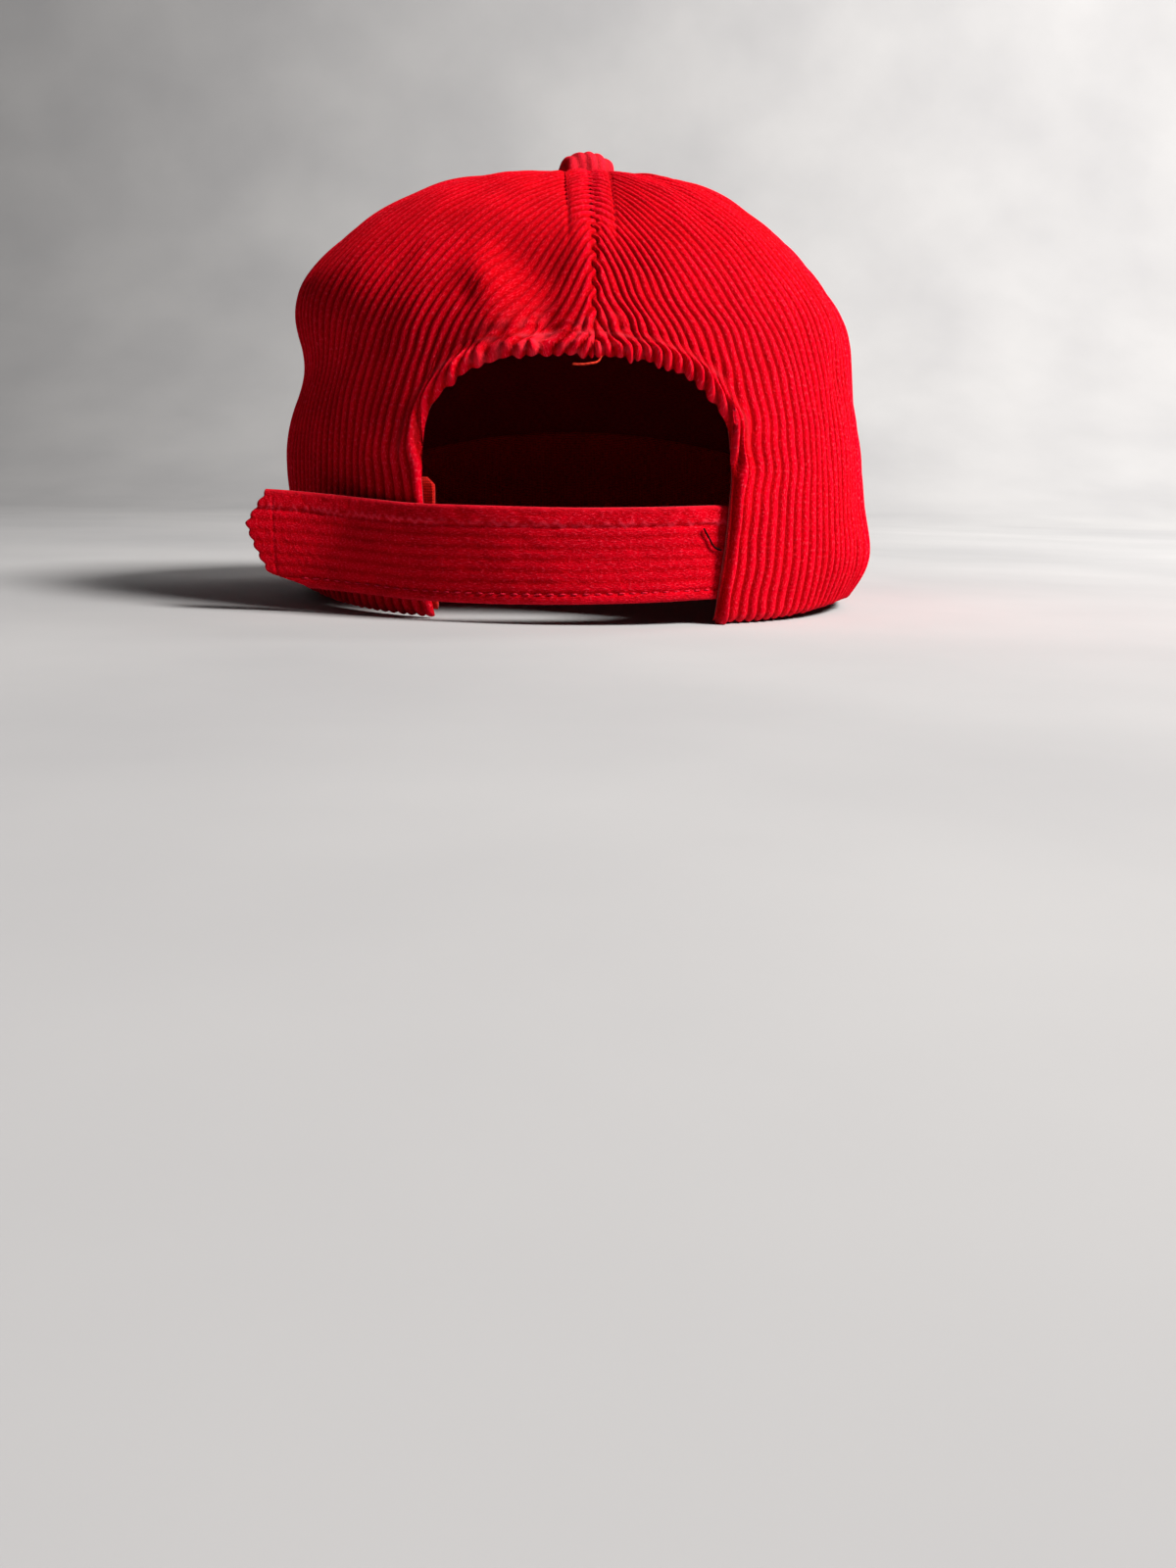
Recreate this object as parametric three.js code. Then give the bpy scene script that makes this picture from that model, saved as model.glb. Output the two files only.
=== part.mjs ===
// A red corduroy trucker cap with an adjustable strap across an arched opening at the back.
//
// Units are millimetres and +Z is up. The cap rests on a level surface on its rim and on the sides
// of its visor. +Y points the way the wearer looks, so the opening and the strap face -Y and +X is
// the wearer's right. The origin is under the middle of the whole cap, on that surface.
//
// The crown is five panels cut from one smooth dome: a wide front panel, two side panels and two
// back panels. Every cloth piece is a closed wall between an outer and an inner sheet.
import * as THREE from "three";

// ---------------------------------------------------------------------------- driving dimensions

const crown = { halfWidth: 90, halfLength: 98, height: 129 };
const seamGap = 0.4; // between two panels, across the seam
const clearance = 0.4; // between pieces that touch on the real cap

const thickness = { corduroy: 1.6, visorCover: 1.4, sweatband: 1, strap: 2, patch: 1.1 };

const rimArch = { height: 22, halfSpan: 72 }; // the visor bends the front of the rim up
const visor = { halfSpan: 58, reach: 70, halfWidth: 83, cornerY: 46 };

// The arched opening above the strap. Its upright sides lean apart, from the rim to the arch's foot.
const opening = { rimHalfAngle: 26.8, halfAngle: 28.6, springHeight: 43, topHeight: 71, roundness: 2.6 };
const strapEnd = { rounded: 16, cut: 15, drop: 7 }; // the corners of the strap's free end
const sweatband = { top: 0.19, pastOpening: 3, strapRoom: 13 };
const button = { radius: 8.6, height: 8.2, stemRadius: 2.4, backRadius: 5, backThickness: 1.2 };
const buttonHole = 3.2; // radius of the hole at the crown's top

// The panels, by the azimuth of their middle. 0 is the front, 90 the wearer's right.
const PANELS = [
  { name: "front_panel", middle: 0, halfSpan: 60, columnTurn: 6 },
  { name: "side_panel_right", middle: 84, halfSpan: 24, columnTurn: 6 },
  { name: "back_panel_right", middle: 144, halfSpan: 36, columnTurn: 6, openSide: 1 },
  { name: "back_panel_left", middle: -144, halfSpan: 36, columnTurn: 6, openSide: -1 },
  { name: "side_panel_left", middle: -84, halfSpan: 24, columnTurn: 6 },
];

// Three meridians of the dome, a row for each level from the rim to the top button. A height is a
// share of the crown's height, and out is a share of its half-length or, at the side, half-width.
const MERIDIANS = [
  { backHeight: 0.0, backOut: 0.97, sideHeight: 0.0, sideOut: 0.985, frontHeight: 0.0, frontOut: 1.0 },
  { backHeight: 0.122, backOut: 0.985, sideHeight: 0.122, sideOut: 1.02, frontHeight: 0.137, frontOut: 1.0 },
  { backHeight: 0.259, backOut: 0.99, sideHeight: 0.259, sideOut: 1.012, frontHeight: 0.281, frontOut: 0.985 },
  { backHeight: 0.395, backOut: 0.98, sideHeight: 0.395, sideOut: 0.99, frontHeight: 0.426, frontOut: 0.96 },
  { backHeight: 0.532, backOut: 0.95, sideHeight: 0.532, sideOut: 0.957, frontHeight: 0.57, frontOut: 0.925 },
  { backHeight: 0.654, backOut: 0.89, sideHeight: 0.662, sideOut: 0.93, frontHeight: 0.707, frontOut: 0.87 },
  { backHeight: 0.76, backOut: 0.8, sideHeight: 0.768, sideOut: 0.845, frontHeight: 0.821, frontOut: 0.785 },
  { backHeight: 0.844, backOut: 0.69, sideHeight: 0.852, sideOut: 0.73, frontHeight: 0.905, frontOut: 0.675 },
  { backHeight: 0.909, backOut: 0.56, sideHeight: 0.916, sideOut: 0.605, frontHeight: 0.962, frontOut: 0.545 },
  { backHeight: 0.957, backOut: 0.43, sideHeight: 0.962, sideOut: 0.47, frontHeight: 0.99, frontOut: 0.41 },
  { backHeight: 0.985, backOut: 0.29, sideHeight: 0.988, sideOut: 0.33, frontHeight: 1.0, frontOut: 0.28 },
  { backHeight: 0.996, backOut: 0.15, sideHeight: 0.997, sideOut: 0.17, frontHeight: 1.002, frontOut: 0.14 },
  { backHeight: 1.0, backOut: 0.0, sideHeight: 1.0, sideOut: 0.0, frontHeight: 1.0, frontOut: 0.0 },
];

// Soft bulges (depth above 0) and dents (below 0) in the cloth. Level runs from 0 at the rim to 1
// at the top, turn is how far round the crown a form spreads, in degrees, and rise how far up.
const FOLDS = [
  { place: "left shoulder", azimuth: -98, level: 0.44, turn: 30, rise: 0.07, depth: 3.6 },
  { place: "left upper side", azimuth: -104, level: 0.54, turn: 34, rise: 0.2, depth: 4.2 },
  { place: "left waist", azimuth: -100, level: 0.335, turn: 26, rise: 0.05, depth: -1.8 },
  { place: "left side", azimuth: -98, level: 0.23, turn: 24, rise: 0.07, depth: 2.8 },
  { place: "right side above the rim", azimuth: 103, level: 0.09, turn: 26, rise: 0.05, depth: 2.6 },
  { place: "right waist", azimuth: 98, level: 0.3, turn: 22, rise: 0.05, depth: -0.8 },
  { place: "right shoulder", azimuth: 100, level: 0.55, turn: 30, rise: 0.13, depth: -2.2 },
  { place: "front left top", azimuth: -62, level: 0.74, turn: 30, rise: 0.08, depth: 2.4 },
  { place: "front right top", azimuth: 60, level: 0.78, turn: 36, rise: 0.07, depth: 2.4 },
  { place: "back left ridge", azimuth: -166, level: 0.42, turn: 6, rise: 0.06, depth: 2.2 },
  { place: "back left hollow", azimuth: -175, level: 0.45, turn: 5, rise: 0.05, depth: -1.8 },
];

// The strap's way round the back, from its sewn end inside the right panel to its free end. Turn is
// from the middle of the back, towards the wearer's right, and stand is from the crown's face. Low
// and high are the heights of its two edges.
const STRAP_WAY = [
  { turn: 38, stand: -3.0, low: 6.2, high: 30.5 },
  { turn: 27, stand: -3.0, low: 6.2, high: 30.5 },
  { turn: 14, stand: -1.2, low: 6.0, high: 30.6 },
  { turn: 0, stand: 0.6, low: 5.4, high: 30.7 },
  { turn: -14, stand: 1.9, low: 5.0, high: 30.9 },
  { turn: -28, stand: 2.9, low: 5.0, high: 31.5 },
  { turn: -37, stand: 4.3, low: 5.3, high: 32.4 },
  { turn: -44, stand: 9.0, low: 5.8, high: 33.2 },
  { turn: -49, stand: 16.5, low: 6.4, high: 33.9 },
  { turn: -52.5, stand: 25.0, low: 6.8, high: 34.2 },
];

// ------------------------------------------------------------------------------- the dome's shape

const degrees = THREE.MathUtils.degToRad;
const lerp = THREE.MathUtils.lerp;

// The value of a table's column at a place from 0 to 1 along its rows, on a Catmull-Rom curve.
function along(table, column, place) {
  const last = table.length - 1;
  const at = Math.min(Math.max(place, 0), 1) * last;
  const i = Math.min(Math.floor(at), last - 1);
  const t = at - i;
  const b = table[i][column];
  const c = table[i + 1][column];
  const a = i > 0 ? table[i - 1][column] : 2 * b - c;
  const d = i + 2 <= last ? table[i + 2][column] : 2 * c - b;
  const start = (c - a) / 2;
  const end = (d - b) / 2;
  return b + start * t + (3 * (c - b) - 2 * start - end) * t * t + (2 * (b - c) + start + end) * t ** 3;
}

// An azimuth's distance from another, in degrees from -180 to 180.
const turnFrom = (azimuth, other) => ((azimuth - other + 540) % 360) - 180;

// How far the rim stands above the surface at an azimuth.
function rimHeight(azimuth) {
  const share = turnFrom(azimuth, 0) / rimArch.halfSpan;
  return rimArch.height * Math.max(0, 1 - share * share) ** 1.5;
}

// A point of the smooth dome, without its folds.
function domePoint(azimuth, level) {
  const sine = Math.sin(degrees(azimuth));
  const cosine = Math.cos(degrees(azimuth));
  const front = Math.max(0, cosine) ** 2;
  const back = Math.max(0, -cosine) ** 2;
  const side = sine * sine;
  const mix = (what) =>
    front * along(MERIDIANS, "front" + what, level) +
    back * along(MERIDIANS, "back" + what, level) +
    side * along(MERIDIANS, "side" + what, level);
  const out = mix("Out");
  const rim = rimHeight(azimuth);
  return new THREE.Vector3(
    crown.halfWidth * out * sine,
    crown.halfLength * out * cosine,
    rim + mix("Height") * (crown.height - rim),
  );
}

// The way the dome faces. It is level at the rim, so that the rim is cut flat.
function domeNormal(azimuth, level) {
  const step = 1e-3;
  const round = domePoint(azimuth + step * 90, level).sub(domePoint(azimuth - step * 90, level));
  const up = domePoint(azimuth, Math.min(level + step, 1)).sub(domePoint(azimuth, Math.max(level - step, 0)));
  const normal = up.cross(round);
  normal.z *= Math.min(1, level / 0.08);
  return normal.normalize();
}

function foldDepth(azimuth, level) {
  return FOLDS.reduce((sum, fold) => {
    const turn = turnFrom(azimuth, fold.azimuth) / fold.turn;
    const rise = (level - fold.level) / fold.rise;
    return sum + fold.depth * Math.exp(-(turn * turn + rise * rise));
  }, 0);
}

// A point that stands off the crown's outer face. Below 0 it is inside the crown.
function crownPoint(azimuth, level, stand = 0) {
  const normal = domeNormal(azimuth, level);
  return domePoint(azimuth, level).addScaledVector(normal, foldDepth(azimuth, level) + stand);
}

// The place from low to high where a rising function passes 0.
function solve(rising, low, high) {
  for (let n = 0; n < 40; n++) {
    const middle = (low + high) / 2;
    if (rising(middle) < 0) low = middle;
    else high = middle;
  }
  return (low + high) / 2;
}

// ------------------------------------------------------------------------------ closed cloth walls

// A wall of cloth. place(i, j, depth) gives the point of column i and row j at a depth below the
// outer sheet, and cell(i, j) says whether the cloth covers the cell from there to the next ones.
function wall(columns, rows, depth, place, cell = () => true) {
  const layer = (columns + 1) * (rows + 1);
  const index = (i, j, inner) => (inner ? layer : 0) + i * (rows + 1) + j;
  const positions = [];
  for (const inner of [0, depth])
    for (let i = 0; i <= columns; i++)
      for (let j = 0; j <= rows; j++) positions.push(...place(i, j, inner).toArray());

  const faces = [];
  const covered = (i, j) => i >= 0 && j >= 0 && i < columns && j < rows && cell(i, j);
  const quad = (a, b, c, d) => faces.push(a, b, c, a, c, d);
  for (let i = 0; i < columns; i++)
    for (let j = 0; j < rows; j++) {
      if (!covered(i, j)) continue;
      const corners = [[i, j], [i + 1, j], [i + 1, j + 1], [i, j + 1]];
      const beyond = [[i, j - 1], [i + 1, j], [i, j + 1], [i - 1, j]];
      quad(...corners.map(([a, b]) => index(a, b, false)));
      quad(...corners.map(([a, b]) => index(a, b, true)).reverse());
      corners.forEach(([a, b], side) => {
        if (covered(...beyond[side])) return;
        const [c, d] = corners[(side + 1) % 4];
        quad(index(c, d, false), index(a, b, false), index(a, b, true), index(c, d, true));
      });
    }
  return closed(positions, faces);
}

// The geometry of some points and faces, turned to face outwards.
function closed(positions, faces) {
  const corner = (n) => new THREE.Vector3().fromArray(positions, 3 * faces[n]);
  let volume = 0;
  for (let n = 0; n < faces.length; n += 3) volume += corner(n).dot(corner(n + 1).cross(corner(n + 2)));
  if (volume < 0) faces.reverse();
  const used = [...new Set(faces)].sort((a, b) => a - b);
  const renumbered = new Map(used.map((old, now) => [old, now]));
  const geometry = new THREE.BufferGeometry();
  const kept = used.flatMap((n) => positions.slice(3 * n, 3 * n + 3));
  geometry.setAttribute("position", new THREE.Float32BufferAttribute(kept, 3));
  geometry.setIndex(faces.map((n) => renumbered.get(n)));
  return geometry;
}

// --------------------------------------------------------------------------------- crown panels

// The level of the dome at a height above the surface.
const levelAt = (azimuth, height) => solve((level) => domePoint(azimuth, level).z - height, 0, 0.9);

const springAzimuth = 180 - opening.halfAngle; // the arch's foot
const springLevel = levelAt(springAzimuth, opening.springHeight);
const topLevel = solve((level) => buttonHole - domePoint(90, level).x, 0.8, 1);

// The level where the cloth starts over the opening.
function archLevel(azimuth) {
  const halfWidth = domePoint(springAzimuth, springLevel).x;
  const above = (level) => {
    const point = domePoint(azimuth, level);
    const across = Math.min(1, Math.abs(point.x) / halfWidth);
    const up = (1 - across ** opening.roundness) ** (1 / opening.roundness);
    return point.z - lerp(opening.springHeight, opening.topHeight, up);
  };
  return solve(above, springLevel - 0.01, 0.7);
}

function panelGeometry(panel) {
  const columns = (2 * panel.halfSpan) / panel.columnTurn;
  const lowRows = 8; // up to the foot of the arch
  const highRows = 13;
  const azimuths = [...Array(columns + 1)].map((_, i) => panel.middle - panel.halfSpan + i * panel.columnTurn);
  if (panel.openSide) {
    const edge = panel.openSide * springAzimuth;
    const byDistance = (a, b) => Math.abs(a - edge) - Math.abs(b - edge);
    azimuths[azimuths.indexOf([...azimuths].sort(byDistance)[0])] = edge;
  }
  const overOpening = (i) => panel.openSide && Math.abs(azimuths[i]) > springAzimuth + 1e-6;
  const cell = (i, j) => j >= lowRows || !(overOpening(i) || overOpening(i + 1));
  const edgeLean = opening.halfAngle - opening.rimHalfAngle;
  const place = (i, j, depth) => {
    const start = overOpening(i) ? archLevel(azimuths[i]) : springLevel;
    const level = j <= lowRows ? (start * j) / lowRows : lerp(start, topLevel, (j - lowRows) / highRows);
    const side = i === 0 ? 1 : i === columns ? -1 : 0;
    const inset = (side * seamGap) / 2 / Math.hypot(...domePoint(azimuths[i], level).toArray().slice(0, 2));
    const onEdge = panel.openSide && Math.abs(Math.abs(azimuths[i]) - springAzimuth) < 1e-6;
    const lean = onEdge && j < lowRows ? panel.openSide * edgeLean * (1 - j / lowRows) : 0;
    return crownPoint(azimuths[i] + lean + THREE.MathUtils.radToDeg(inset), level, -depth);
  };
  return wall(columns, lowRows + highRows, thickness.corduroy, place, cell);
}

// ------------------------------------------------------------------------------------- the visor

// A point of the visor's top face. Across runs from -1 to 1 and out from 0 at the crown to 1.
function visorPoint(across, out) {
  const azimuth = visor.halfSpan * across;
  const inner = crownPoint(azimuth, 0, -thickness.corduroy + 0.3);
  const sweep = degrees(90 * across);
  const outerX = visor.halfWidth * Math.sin(sweep);
  const tipY = crown.halfLength + visor.reach;
  const outerY = lerp(visor.cornerY, tipY, Math.cos(sweep) ** 0.92);
  const outerArch = rimHeight(THREE.MathUtils.radToDeg(Math.asin(outerX / crown.halfWidth)));
  const arch = lerp(rimHeight(azimuth), outerArch, out) - clearance;
  const flat = 2 * thickness.visorCover + clearance; // where it rests on the surface
  const soft = 0.5;
  const height = (arch + flat + Math.hypot(arch - flat, soft)) / 2;
  return new THREE.Vector3(lerp(inner.x, outerX, out), lerp(inner.y, outerY, out), height);
}

function visorCover(below) {
  const columns = 26;
  const rows = 6;
  const place = (i, j, depth) => {
    const point = visorPoint((2 * i) / columns - 1, j / rows);
    point.z -= below + depth;
    return point;
  };
  return wall(columns, rows, thickness.visorCover, place);
}

// -------------------------------------------------------------------------- band, strap and patch

// The sweatband lines the rim from one side of the opening to the other.
function sweatbandGeometry() {
  const start = -springAzimuth - sweatband.pastOpening / degrees(crown.halfLength);
  const end = springAzimuth - sweatband.strapRoom;
  const columns = 72;
  const rows = 6;
  const outer = thickness.corduroy + clearance;
  const place = (i, j, depth) =>
    crownPoint(lerp(start, end, i / columns), lerp(0.004, sweatband.top, j / rows), -outer - depth);
  return wall(columns, rows, thickness.sweatband, place);
}

// A point of the strap's middle sheet, from 0 at its sewn end to 1 at its free end.
function strapPoint(place, height) {
  const azimuth = 180 - along(STRAP_WAY, "turn", place);
  const level = levelAt(azimuth, height);
  const outward = domeNormal(azimuth, level).setZ(0).normalize();
  const point = crownPoint(azimuth, level).addScaledVector(outward, along(STRAP_WAY, "stand", place));
  return point.setZ(height);
}

function strapGeometry() {
  const columns = 44;
  const rows = 4;
  const lengthTo = (at) => strapPoint(at, 18).distanceTo(strapPoint(1, 18));
  const place = (i, j, depth) => {
    const at = i / columns;
    const end = Math.max(0, 1 - lengthTo(at) / strapEnd.rounded) ** 2.2;
    const low = along(STRAP_WAY, "low", at) + strapEnd.cut * end;
    const high = along(STRAP_WAY, "high", at) - strapEnd.drop * end;
    const height = lerp(low, high, j / rows);
    const ahead = strapPoint(Math.min(at + 0.01, 1), height);
    ahead.sub(strapPoint(Math.max(at - 0.01, 0), height));
    const outward = new THREE.Vector3(ahead.y, -ahead.x, 0).normalize();
    const point = strapPoint(at, height);
    if (outward.dot(point) < 0) outward.negate();
    return point.addScaledVector(outward, thickness.strap / 2 - depth);
  };
  return wall(columns, rows, thickness.strap, place);
}

// The fastener between the left panel and the strap, which the strap hides.
function patchGeometry() {
  const end = -springAzimuth - sweatband.pastOpening / degrees(crown.halfLength) + 2;
  const start = end + 9;
  const place = (i, j, depth) =>
    crownPoint(lerp(start, end, i / 3), lerp(0.055, 0.145, j / 2), clearance + thickness.patch - depth);
  return wall(3, 2, thickness.patch, place);
}

// A domed button, its stem through the crown's top and the disc that holds it inside.
function buttonGeometry() {
  const face = clearance;
  const inside = -thickness.corduroy - clearance;
  const outline = [
    new THREE.Vector2(0, inside - button.backThickness),
    new THREE.Vector2(button.backRadius, inside - button.backThickness),
    new THREE.Vector2(button.backRadius, inside),
    new THREE.Vector2(button.stemRadius, inside),
    new THREE.Vector2(button.stemRadius, face),
    new THREE.Vector2(button.radius, face - 0.1),
  ];
  const steps = 5;
  for (let n = 1; n <= steps; n++) {
    const sweep = degrees((90 * n) / steps);
    const out = n === steps ? 0 : button.radius * Math.cos(sweep) ** 0.8;
    outline.push(new THREE.Vector2(out, face + button.height * (0.18 + 0.82 * Math.sin(sweep))));
  }
  return new THREE.LatheGeometry(outline, 20).rotateX(Math.PI / 2);
}

// -------------------------------------------------------------------------------------- assembly

function cloth(name, color, roughness) {
  return new THREE.MeshStandardMaterial({ name, color, roughness, metalness: 0, side: THREE.DoubleSide });
}
const corduroy = cloth("corduroy", 0xc40d1e, 0.85);
const strapCorduroy = cloth("strap_corduroy", 0xa80f20, 0.88);
const bandCotton = cloth("band_cotton", 0xd0331f, 0.9);
const fastener = cloth("fastener", 0x8c1420, 0.8);

const cap = new THREE.Group();
cap.name = "trucker_cap";

function add(name, geometry, material) {
  const piece = new THREE.Mesh(geometry, material);
  piece.name = name;
  cap.add(piece);
  return piece;
}

for (const panel of PANELS) add(panel.name, panelGeometry(panel), corduroy);
add("top_button", buttonGeometry(), corduroy).position.z = domePoint(180, topLevel).z;
add("visor_top", visorCover(0), corduroy);
add("visor_under", visorCover(thickness.visorCover + clearance), corduroy);
add("sweatband", sweatbandGeometry(), bandCotton);
add("back_strap", strapGeometry(), strapCorduroy);
add("closure_patch", patchGeometry(), fastener);

// The origin goes under the middle of the cap, on the surface that it rests on.
const extent = new THREE.Box3().setFromObject(cap);
const middle = extent.getCenter(new THREE.Vector3());
cap.position.set(-middle.x, -middle.y, -extent.min.z);

const root = new THREE.Group();
root.add(cap);
export default root;
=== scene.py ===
"""A red corduroy trucker cap with a strap across an arched opening at the back.

Sizes are in millimetres, in a frame whose origin is under the middle of the crown, and each piece
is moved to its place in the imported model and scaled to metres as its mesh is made. +Y is the way
the wearer looks, +X the wearer's right, and the surface that the cap rests on is at 0.
"""

import logging
import math
from collections.abc import Callable, Sequence
from dataclasses import dataclass, field
from enum import Enum
from functools import partial

import bmesh
import bpy
import numpy as np
from mathutils import Matrix, Vector


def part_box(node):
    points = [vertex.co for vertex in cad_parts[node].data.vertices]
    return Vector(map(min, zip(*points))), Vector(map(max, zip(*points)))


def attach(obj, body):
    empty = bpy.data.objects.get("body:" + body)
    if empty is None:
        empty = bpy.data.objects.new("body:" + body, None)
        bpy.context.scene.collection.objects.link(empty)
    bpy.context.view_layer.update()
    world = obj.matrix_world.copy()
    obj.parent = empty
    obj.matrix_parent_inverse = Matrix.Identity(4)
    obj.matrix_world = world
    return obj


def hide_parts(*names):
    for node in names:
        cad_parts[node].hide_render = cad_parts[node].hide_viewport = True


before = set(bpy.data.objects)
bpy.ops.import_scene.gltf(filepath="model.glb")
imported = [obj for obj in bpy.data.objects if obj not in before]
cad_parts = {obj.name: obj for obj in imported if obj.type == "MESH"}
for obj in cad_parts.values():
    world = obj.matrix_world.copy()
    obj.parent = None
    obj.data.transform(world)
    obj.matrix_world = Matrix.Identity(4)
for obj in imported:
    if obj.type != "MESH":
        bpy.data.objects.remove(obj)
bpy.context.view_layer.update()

log = logging.getLogger("cap")

Array = np.ndarray
Triple = tuple[float, float, float]
Tree, Node, Socket = bpy.types.NodeTree, bpy.types.Node, bpy.types.NodeSocket
Mesh = bpy.types.Mesh

MM = 0.001  # metres
CROWN_MM = 188.0  # cloth from the rim to the top of the crown


# ------------------------------------------------------------------------------ shared helpers


def linear(code: str) -> tuple[float, float, float, float]:
    """Turn an sRGB hex colour to linear light.

    Args:
        code: The colour, such as "#c40d1e".

    Returns:
        Red, green, blue and an alpha of 1.
    """
    parts = [int(code[n : n + 2], 16) / 255 for n in (1, 3, 5)]
    light = [p / 12.92 if p <= 0.04045 else ((p + 0.055) / 1.055) ** 2.4 for p in parts]
    return (*light, 1.0)


def smooth(low: float, high: float, value: Array) -> Array:
    """Rise smoothly from 0 at low to 1 at high."""
    t = np.clip((value - low) / (high - low), 0, 1)
    return t * t * (3 - 2 * t)


def mix(a: Array, b: Array, share: Array) -> Array:
    """Go from a to b as share goes from 0 to 1."""
    return a + (b - a) * share


def unit(vectors: Array) -> Array:
    """Scale each vector to a length of 1."""
    return vectors / np.maximum(np.linalg.norm(vectors, axis=-1, keepdims=True), 1e-9)


def bump(value: Array, width: float) -> Array:
    """Give a soft bell of that half width around 0."""
    return np.exp(-((value / width) ** 2))


def drift(x: Array, y: Array, seed: int) -> Array:
    """Give smooth random numbers from -1 to 1 that change over about one unit of x and y.

    Args:
        x: First coordinate.
        y: Second coordinate.
        seed: Which pattern.

    Returns:
        The numbers.
    """
    lattice = np.random.default_rng(seed).uniform(-1, 1, (64, 64))
    i, j = np.floor(x).astype(int), np.floor(y).astype(int)
    u, v = smooth(0, 1, x - i), smooth(0, 1, y - j)
    near = mix(lattice[i % 64, j % 64], lattice[(i + 1) % 64, j % 64], u)
    far = mix(lattice[i % 64, (j + 1) % 64], lattice[(i + 1) % 64, (j + 1) % 64], u)
    return mix(near, far, v)


def solve(rising: Callable[[Array], Array], low: Array, high: Array) -> Array:
    """Find where a rising function passes 0.

    Args:
        rising: The function.
        low: Places before the crossing.
        high: Places after it.

    Returns:
        The crossing, for each pair of low and high.
    """
    low, high = np.array(low, float), np.array(high, float)
    for _ in range(34):
        middle = (low + high) / 2
        below = rising(middle) < 0
        low, high = np.where(below, middle, low), np.where(below, high, middle)
    return (low + high) / 2


def edge_fall(edge: Array, radius: float = 0.9) -> Array:
    """Give how far a rolled edge falls away, by millimetres from it: 0 on the face to 0.8."""
    return 1 - np.sqrt(1 - 0.96 * np.clip(1 - edge / radius, 0, 1) ** 2)


def along(table: Array, place: Array) -> Array:
    """Read a table on a Catmull-Rom curve through its rows.

    Args:
        table: One row for each step of the curve.
        place: Where to read it, from 0 at the first row to 1 at the last.

    Returns:
        One row of the table for each place.
    """
    last = len(table) - 1
    at = np.clip(np.asarray(place, float), 0, 1) * last
    i = np.minimum(at.astype(int), last - 1)
    t = (at - i)[..., None]
    padded = np.vstack([2 * table[0] - table[1], table, 2 * table[-1] - table[-2]])
    a, b, c, d = (padded[i + k] for k in range(4))
    start, end = (c - a) / 2, (d - b) / 2
    curve = b + start * t + (3 * (c - b) - 2 * start - end) * t**2
    return curve + (2 * (b - c) + start + end) * t**3


def steps(count: int, fine: Sequence[float] = (0.1, 0.22, 0.4, 0.7)) -> Array:
    """Share out a run of rows that crowd towards both of its ends.

    Args:
        count: How many rows.
        fine: The sizes of the first rows, next to a plain row's 1. The last rows mirror them.

    Returns:
        count + 1 shares from 0 to 1.
    """
    sizes = np.ones(count)
    sizes[: len(fine)] = fine
    sizes[-len(fine) :] = fine[::-1]
    return np.concatenate([[0], np.cumsum(sizes)]) / sizes.sum()


# ------------------------------------------------------------------------------------ materials


def node(tree: Tree, kind: str, links: dict | None = None, **settings: object) -> Node:
    """Add a node with its settings and links.

    Args:
        tree: The tree to add it to.
        kind: The node's type.
        links: Input name or number to an output socket to link, or to a plain value.
        settings: Attributes of the node.

    Returns:
        The new node.
    """
    made = tree.nodes.new(kind)
    for name, value in settings.items():
        setattr(made, name, value)
    for name, value in (links or {}).items():
        if isinstance(value, Socket):
            tree.links.new(value, made.inputs[name])
        else:
            made.inputs[name].default_value = value
    return made


def maths(tree: Tree, operation: str, *values: Socket | float, clamp: bool = False) -> Socket:
    """Combine numbers in a material.

    Args:
        tree: The material's tree.
        operation: What to do with them.
        values: The numbers, in the order that the operation takes them.
        clamp: Keep the result from 0 to 1.

    Returns:
        The result's socket.
    """
    links = dict(enumerate(values))
    return node(tree, "ShaderNodeMath", links, operation=operation, use_clamp=clamp).outputs[0]


def ramp(tree: Tree, source: Socket, stops: dict[float, str]) -> Socket:
    """Turn a number into a colour between named stops.

    Args:
        tree: The material's tree.
        source: The number.
        stops: Place from 0 to 1 to the hex colour there.

    Returns:
        The colour socket.
    """
    made = node(tree, "ShaderNodeValToRGB", {"Fac": source})
    band = made.color_ramp
    while len(band.elements) < len(stops):
        band.elements.new(0.5)
    for element, (place, code) in zip(band.elements, sorted(stops.items())):
        element.position = place
        element.color = linear(code)
    return made.outputs["Color"]


class Space(Enum):
    """Which coordinates a pattern follows."""

    CLOTH = "UV"
    SOLID = "Object"


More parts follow.
